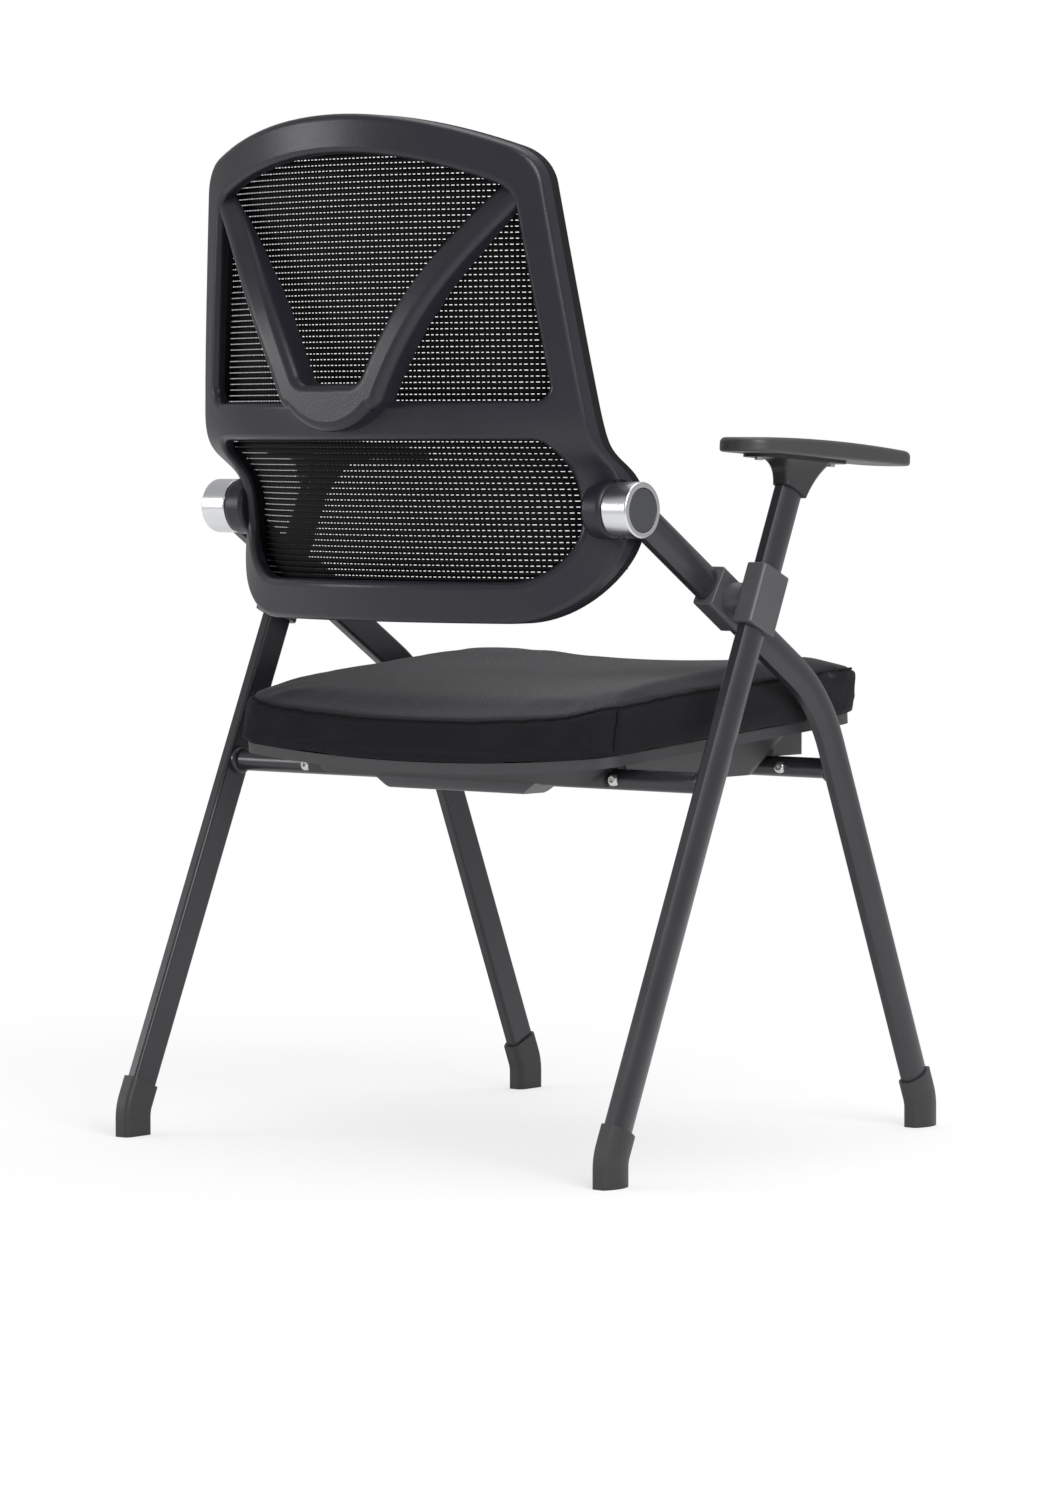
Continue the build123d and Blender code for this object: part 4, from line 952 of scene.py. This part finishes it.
                # Where two cloths meet, the edge itself goes onto the seam
                start = point if len(around) > 1 else vert.co
                vert.co = start - normal * self.groove_depth * share * share
        for name, line, round_it in zip(("seat_welt", "seat_seam_left", "seat_seam_right"), lines, closed):
            self.welt(name, line, round_it)

    def settle(self, piece: bpy.types.Object, line: list[Vector], closed: bool) -> list[Vector]:
        """Put a line on the cover and divide it finely.

        Args:
            piece: the cover.
            line: the seam's points.
            closed: whether it runs all the way round.
        Returns:
            The finer line, on the cover's surface.
        """
        dense = [a.lerp(b, cut / self.seam_cuts)
                 for a, b in zip(line, line[1:] + line[:1]) for cut in range(self.seam_cuts)]
        if not closed:
            dense = dense[:-self.seam_cuts] + [line[-1]]
        shape = bmesh.new()
        shape.from_mesh(piece.data)
        tree = search_tree(shape)
        return [tree.find_nearest(point)[0] for point in dense]

    def welt(self, name: str, line: list[Vector], closed: bool) -> None:
        """Lay a thin cord of cloth along a seam.

        Args:
            name: the piece's name.
            line: the seam's points.
            closed: whether it runs all the way round.
        """
        curve = bpy.data.curves.new(name, "CURVE")
        curve.dimensions = "3D"
        curve.bevel_depth = self.welt_radius
        curve.bevel_resolution = self.welt_resolution
        path = curve.splines.new("POLY")
        path.points.add(len(line) - 1)
        for point, place in zip(path.points, line):
            point.co = (*place, 1.0)
        path.use_cyclic_u = closed
        tube = bpy.data.objects.new(name, curve)
        shape = bmesh.new()
        shape.from_mesh(bpy.data.meshes.new_from_object(tube))
        bpy.data.objects.remove(tube)
        make_piece(name, shape, [WELT_CLOTH], Body.SEAT)


@dataclass(frozen=True)
class Lamp:
    """A soft square lamp that faces the chair: its place, its side in metres and its power in watts."""

    name: str
    place: tuple[float, float, float]
    side: float
    power: float
    aim: tuple[float, float, float] = (0.0, 0.0, 0.5)

    def hang(self) -> None:
        """Add the lamp to the scene."""
        data = bpy.data.lights.new(self.name, "AREA")
        data.size = self.side
        data.energy = self.power
        lamp = bpy.data.objects.new(self.name, data)
        lamp.location = self.place
        lamp.rotation_euler = (Vector(self.aim) - Vector(self.place)).to_track_quat("-Z", "Y").to_euler()
        bpy.context.scene.collection.objects.link(lamp)


@dataclass
class Studio:
    """Pale floor, plain soft light and the photograph's viewpoint."""

    eye: Vector = Vector((-3.2659, 3.9909, 0.6561))
    gaze: Vector = Vector((0.6336, -0.7717, -0.0565))
    floor_half: float = 30.0
    floor_colour: str = "#f4f4f4"
    fade_near: float = 0.5
    fade_far: float = 1.4
    glow_near: float = 0.6
    ambient: float = 0.5
    lamps: tuple[Lamp, ...] = (
        Lamp("key", (-2.8, 1.3, 2.3), side=2.0, power=88.0),
        Lamp("strip", (2.4, 2.3, 1.1), side=0.9, power=22.0),
        Lamp("top", (0.2, -0.6, 3.4), side=2.6, power=48.0),
    )

    def build(self) -> None:
        """Make the camera, floor and lights."""
        self.camera()
        self.floor()
        self.world()
        for lamp in self.lamps:
            lamp.hang()

    def camera(self) -> None:
        """Set the camera where the photograph was taken from."""
        data = bpy.data.cameras.new("camera")
        data.sensor_fit = "VERTICAL"
        data.sensor_height = SENSOR_MM
        data.lens = FOCAL_PX / PHOTO_HEIGHT_PX * SENSOR_MM
        eye = bpy.data.objects.new("camera", data)
        eye.location = self.eye
        eye.rotation_euler = self.gaze.to_track_quat("-Z", "Y").to_euler()
        bpy.context.scene.collection.objects.link(eye)
        bpy.context.scene.camera = eye

    def seen(self, tree: bpy.types.NodeTree) -> bpy.types.NodeSocket:
        """1 for rays that show the background itself in the picture."""
        return add_node(tree, "ShaderNodeLightPath", {}).outputs["Is Camera Ray"]

    def world(self) -> None:
        """White to the eye, softer as light."""
        world = bpy.data.worlds.new("studio")
        world.use_nodes = True
        bpy.context.scene.world = world
        tree = world.node_tree
        level = add_node(tree, "ShaderNodeMapRange", {
            "Value": self.seen(tree), "To Min": self.ambient, "To Max": 1.0})
        backdrop = tree.nodes["Background"]
        backdrop.inputs["Color"].default_value = linear(WHITE)
        tree.links.new(level.outputs["Result"], backdrop.inputs["Strength"])

    def floor(self) -> None:
        """White floor that keeps a soft shadow near the chair and glows to plain white away from it."""
        shape = bmesh.new()
        bmesh.ops.create_grid(shape, x_segments=1, y_segments=1, size=self.floor_half)
        mesh = bpy.data.meshes.new("floor")
        shape.to_mesh(mesh)
        shape.free()
        floor = bpy.data.objects.new("floor", mesh)
        bpy.context.scene.collection.objects.link(floor)
        material = bpy.data.materials.new("floor_paint")
        material.use_nodes = True
        tree = material.node_tree
        tree.nodes.remove(tree.nodes["Principled BSDF"])
        paint = add_node(tree, "ShaderNodeBsdfDiffuse", {"Color": linear(self.floor_colour)})
        glow = add_node(tree, "ShaderNodeEmission", {"Color": linear(WHITE)})
        place = add_node(tree, "ShaderNodeTexCoord", {}).outputs["Object"]
        far = add_node(tree, "ShaderNodeVectorMath", {0: place}, operation="LENGTH").outputs["Value"]
        fade = add_node(tree, "ShaderNodeMapRange", {
            "Value": far, "From Min": self.fade_near, "From Max": self.fade_far,
            "To Min": self.glow_near, "To Max": 1.0}, interpolation_type="SMOOTHSTEP").outputs["Result"]
        share = add_node(tree, "ShaderNodeMath", {0: self.seen(tree), 1: fade}, operation="MULTIPLY")
        mix = add_node(tree, "ShaderNodeMixShader", {
            0: share.outputs["Value"], 1: paint.outputs["BSDF"], 2: glow.outputs["Emission"]})
        tree.links.new(mix.outputs["Shader"], tree.nodes["Material Output"].inputs["Surface"])
        mesh.materials.append(material)


def main() -> None:
    """Load the frame, dress it and set the studio."""
    logging.basicConfig(level=logging.INFO)
    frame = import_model()
    nodes = frame["nodes"]
    bpy.context.scene.view_settings.view_transform = "Standard"
    Studio().build()
    Carcass(nodes).dress()
    WovenBack(nodes["back_mesh"]).build()
    SeatCushion(nodes["seat_cushion"]).build()


if __name__ == "__main__":
    main()
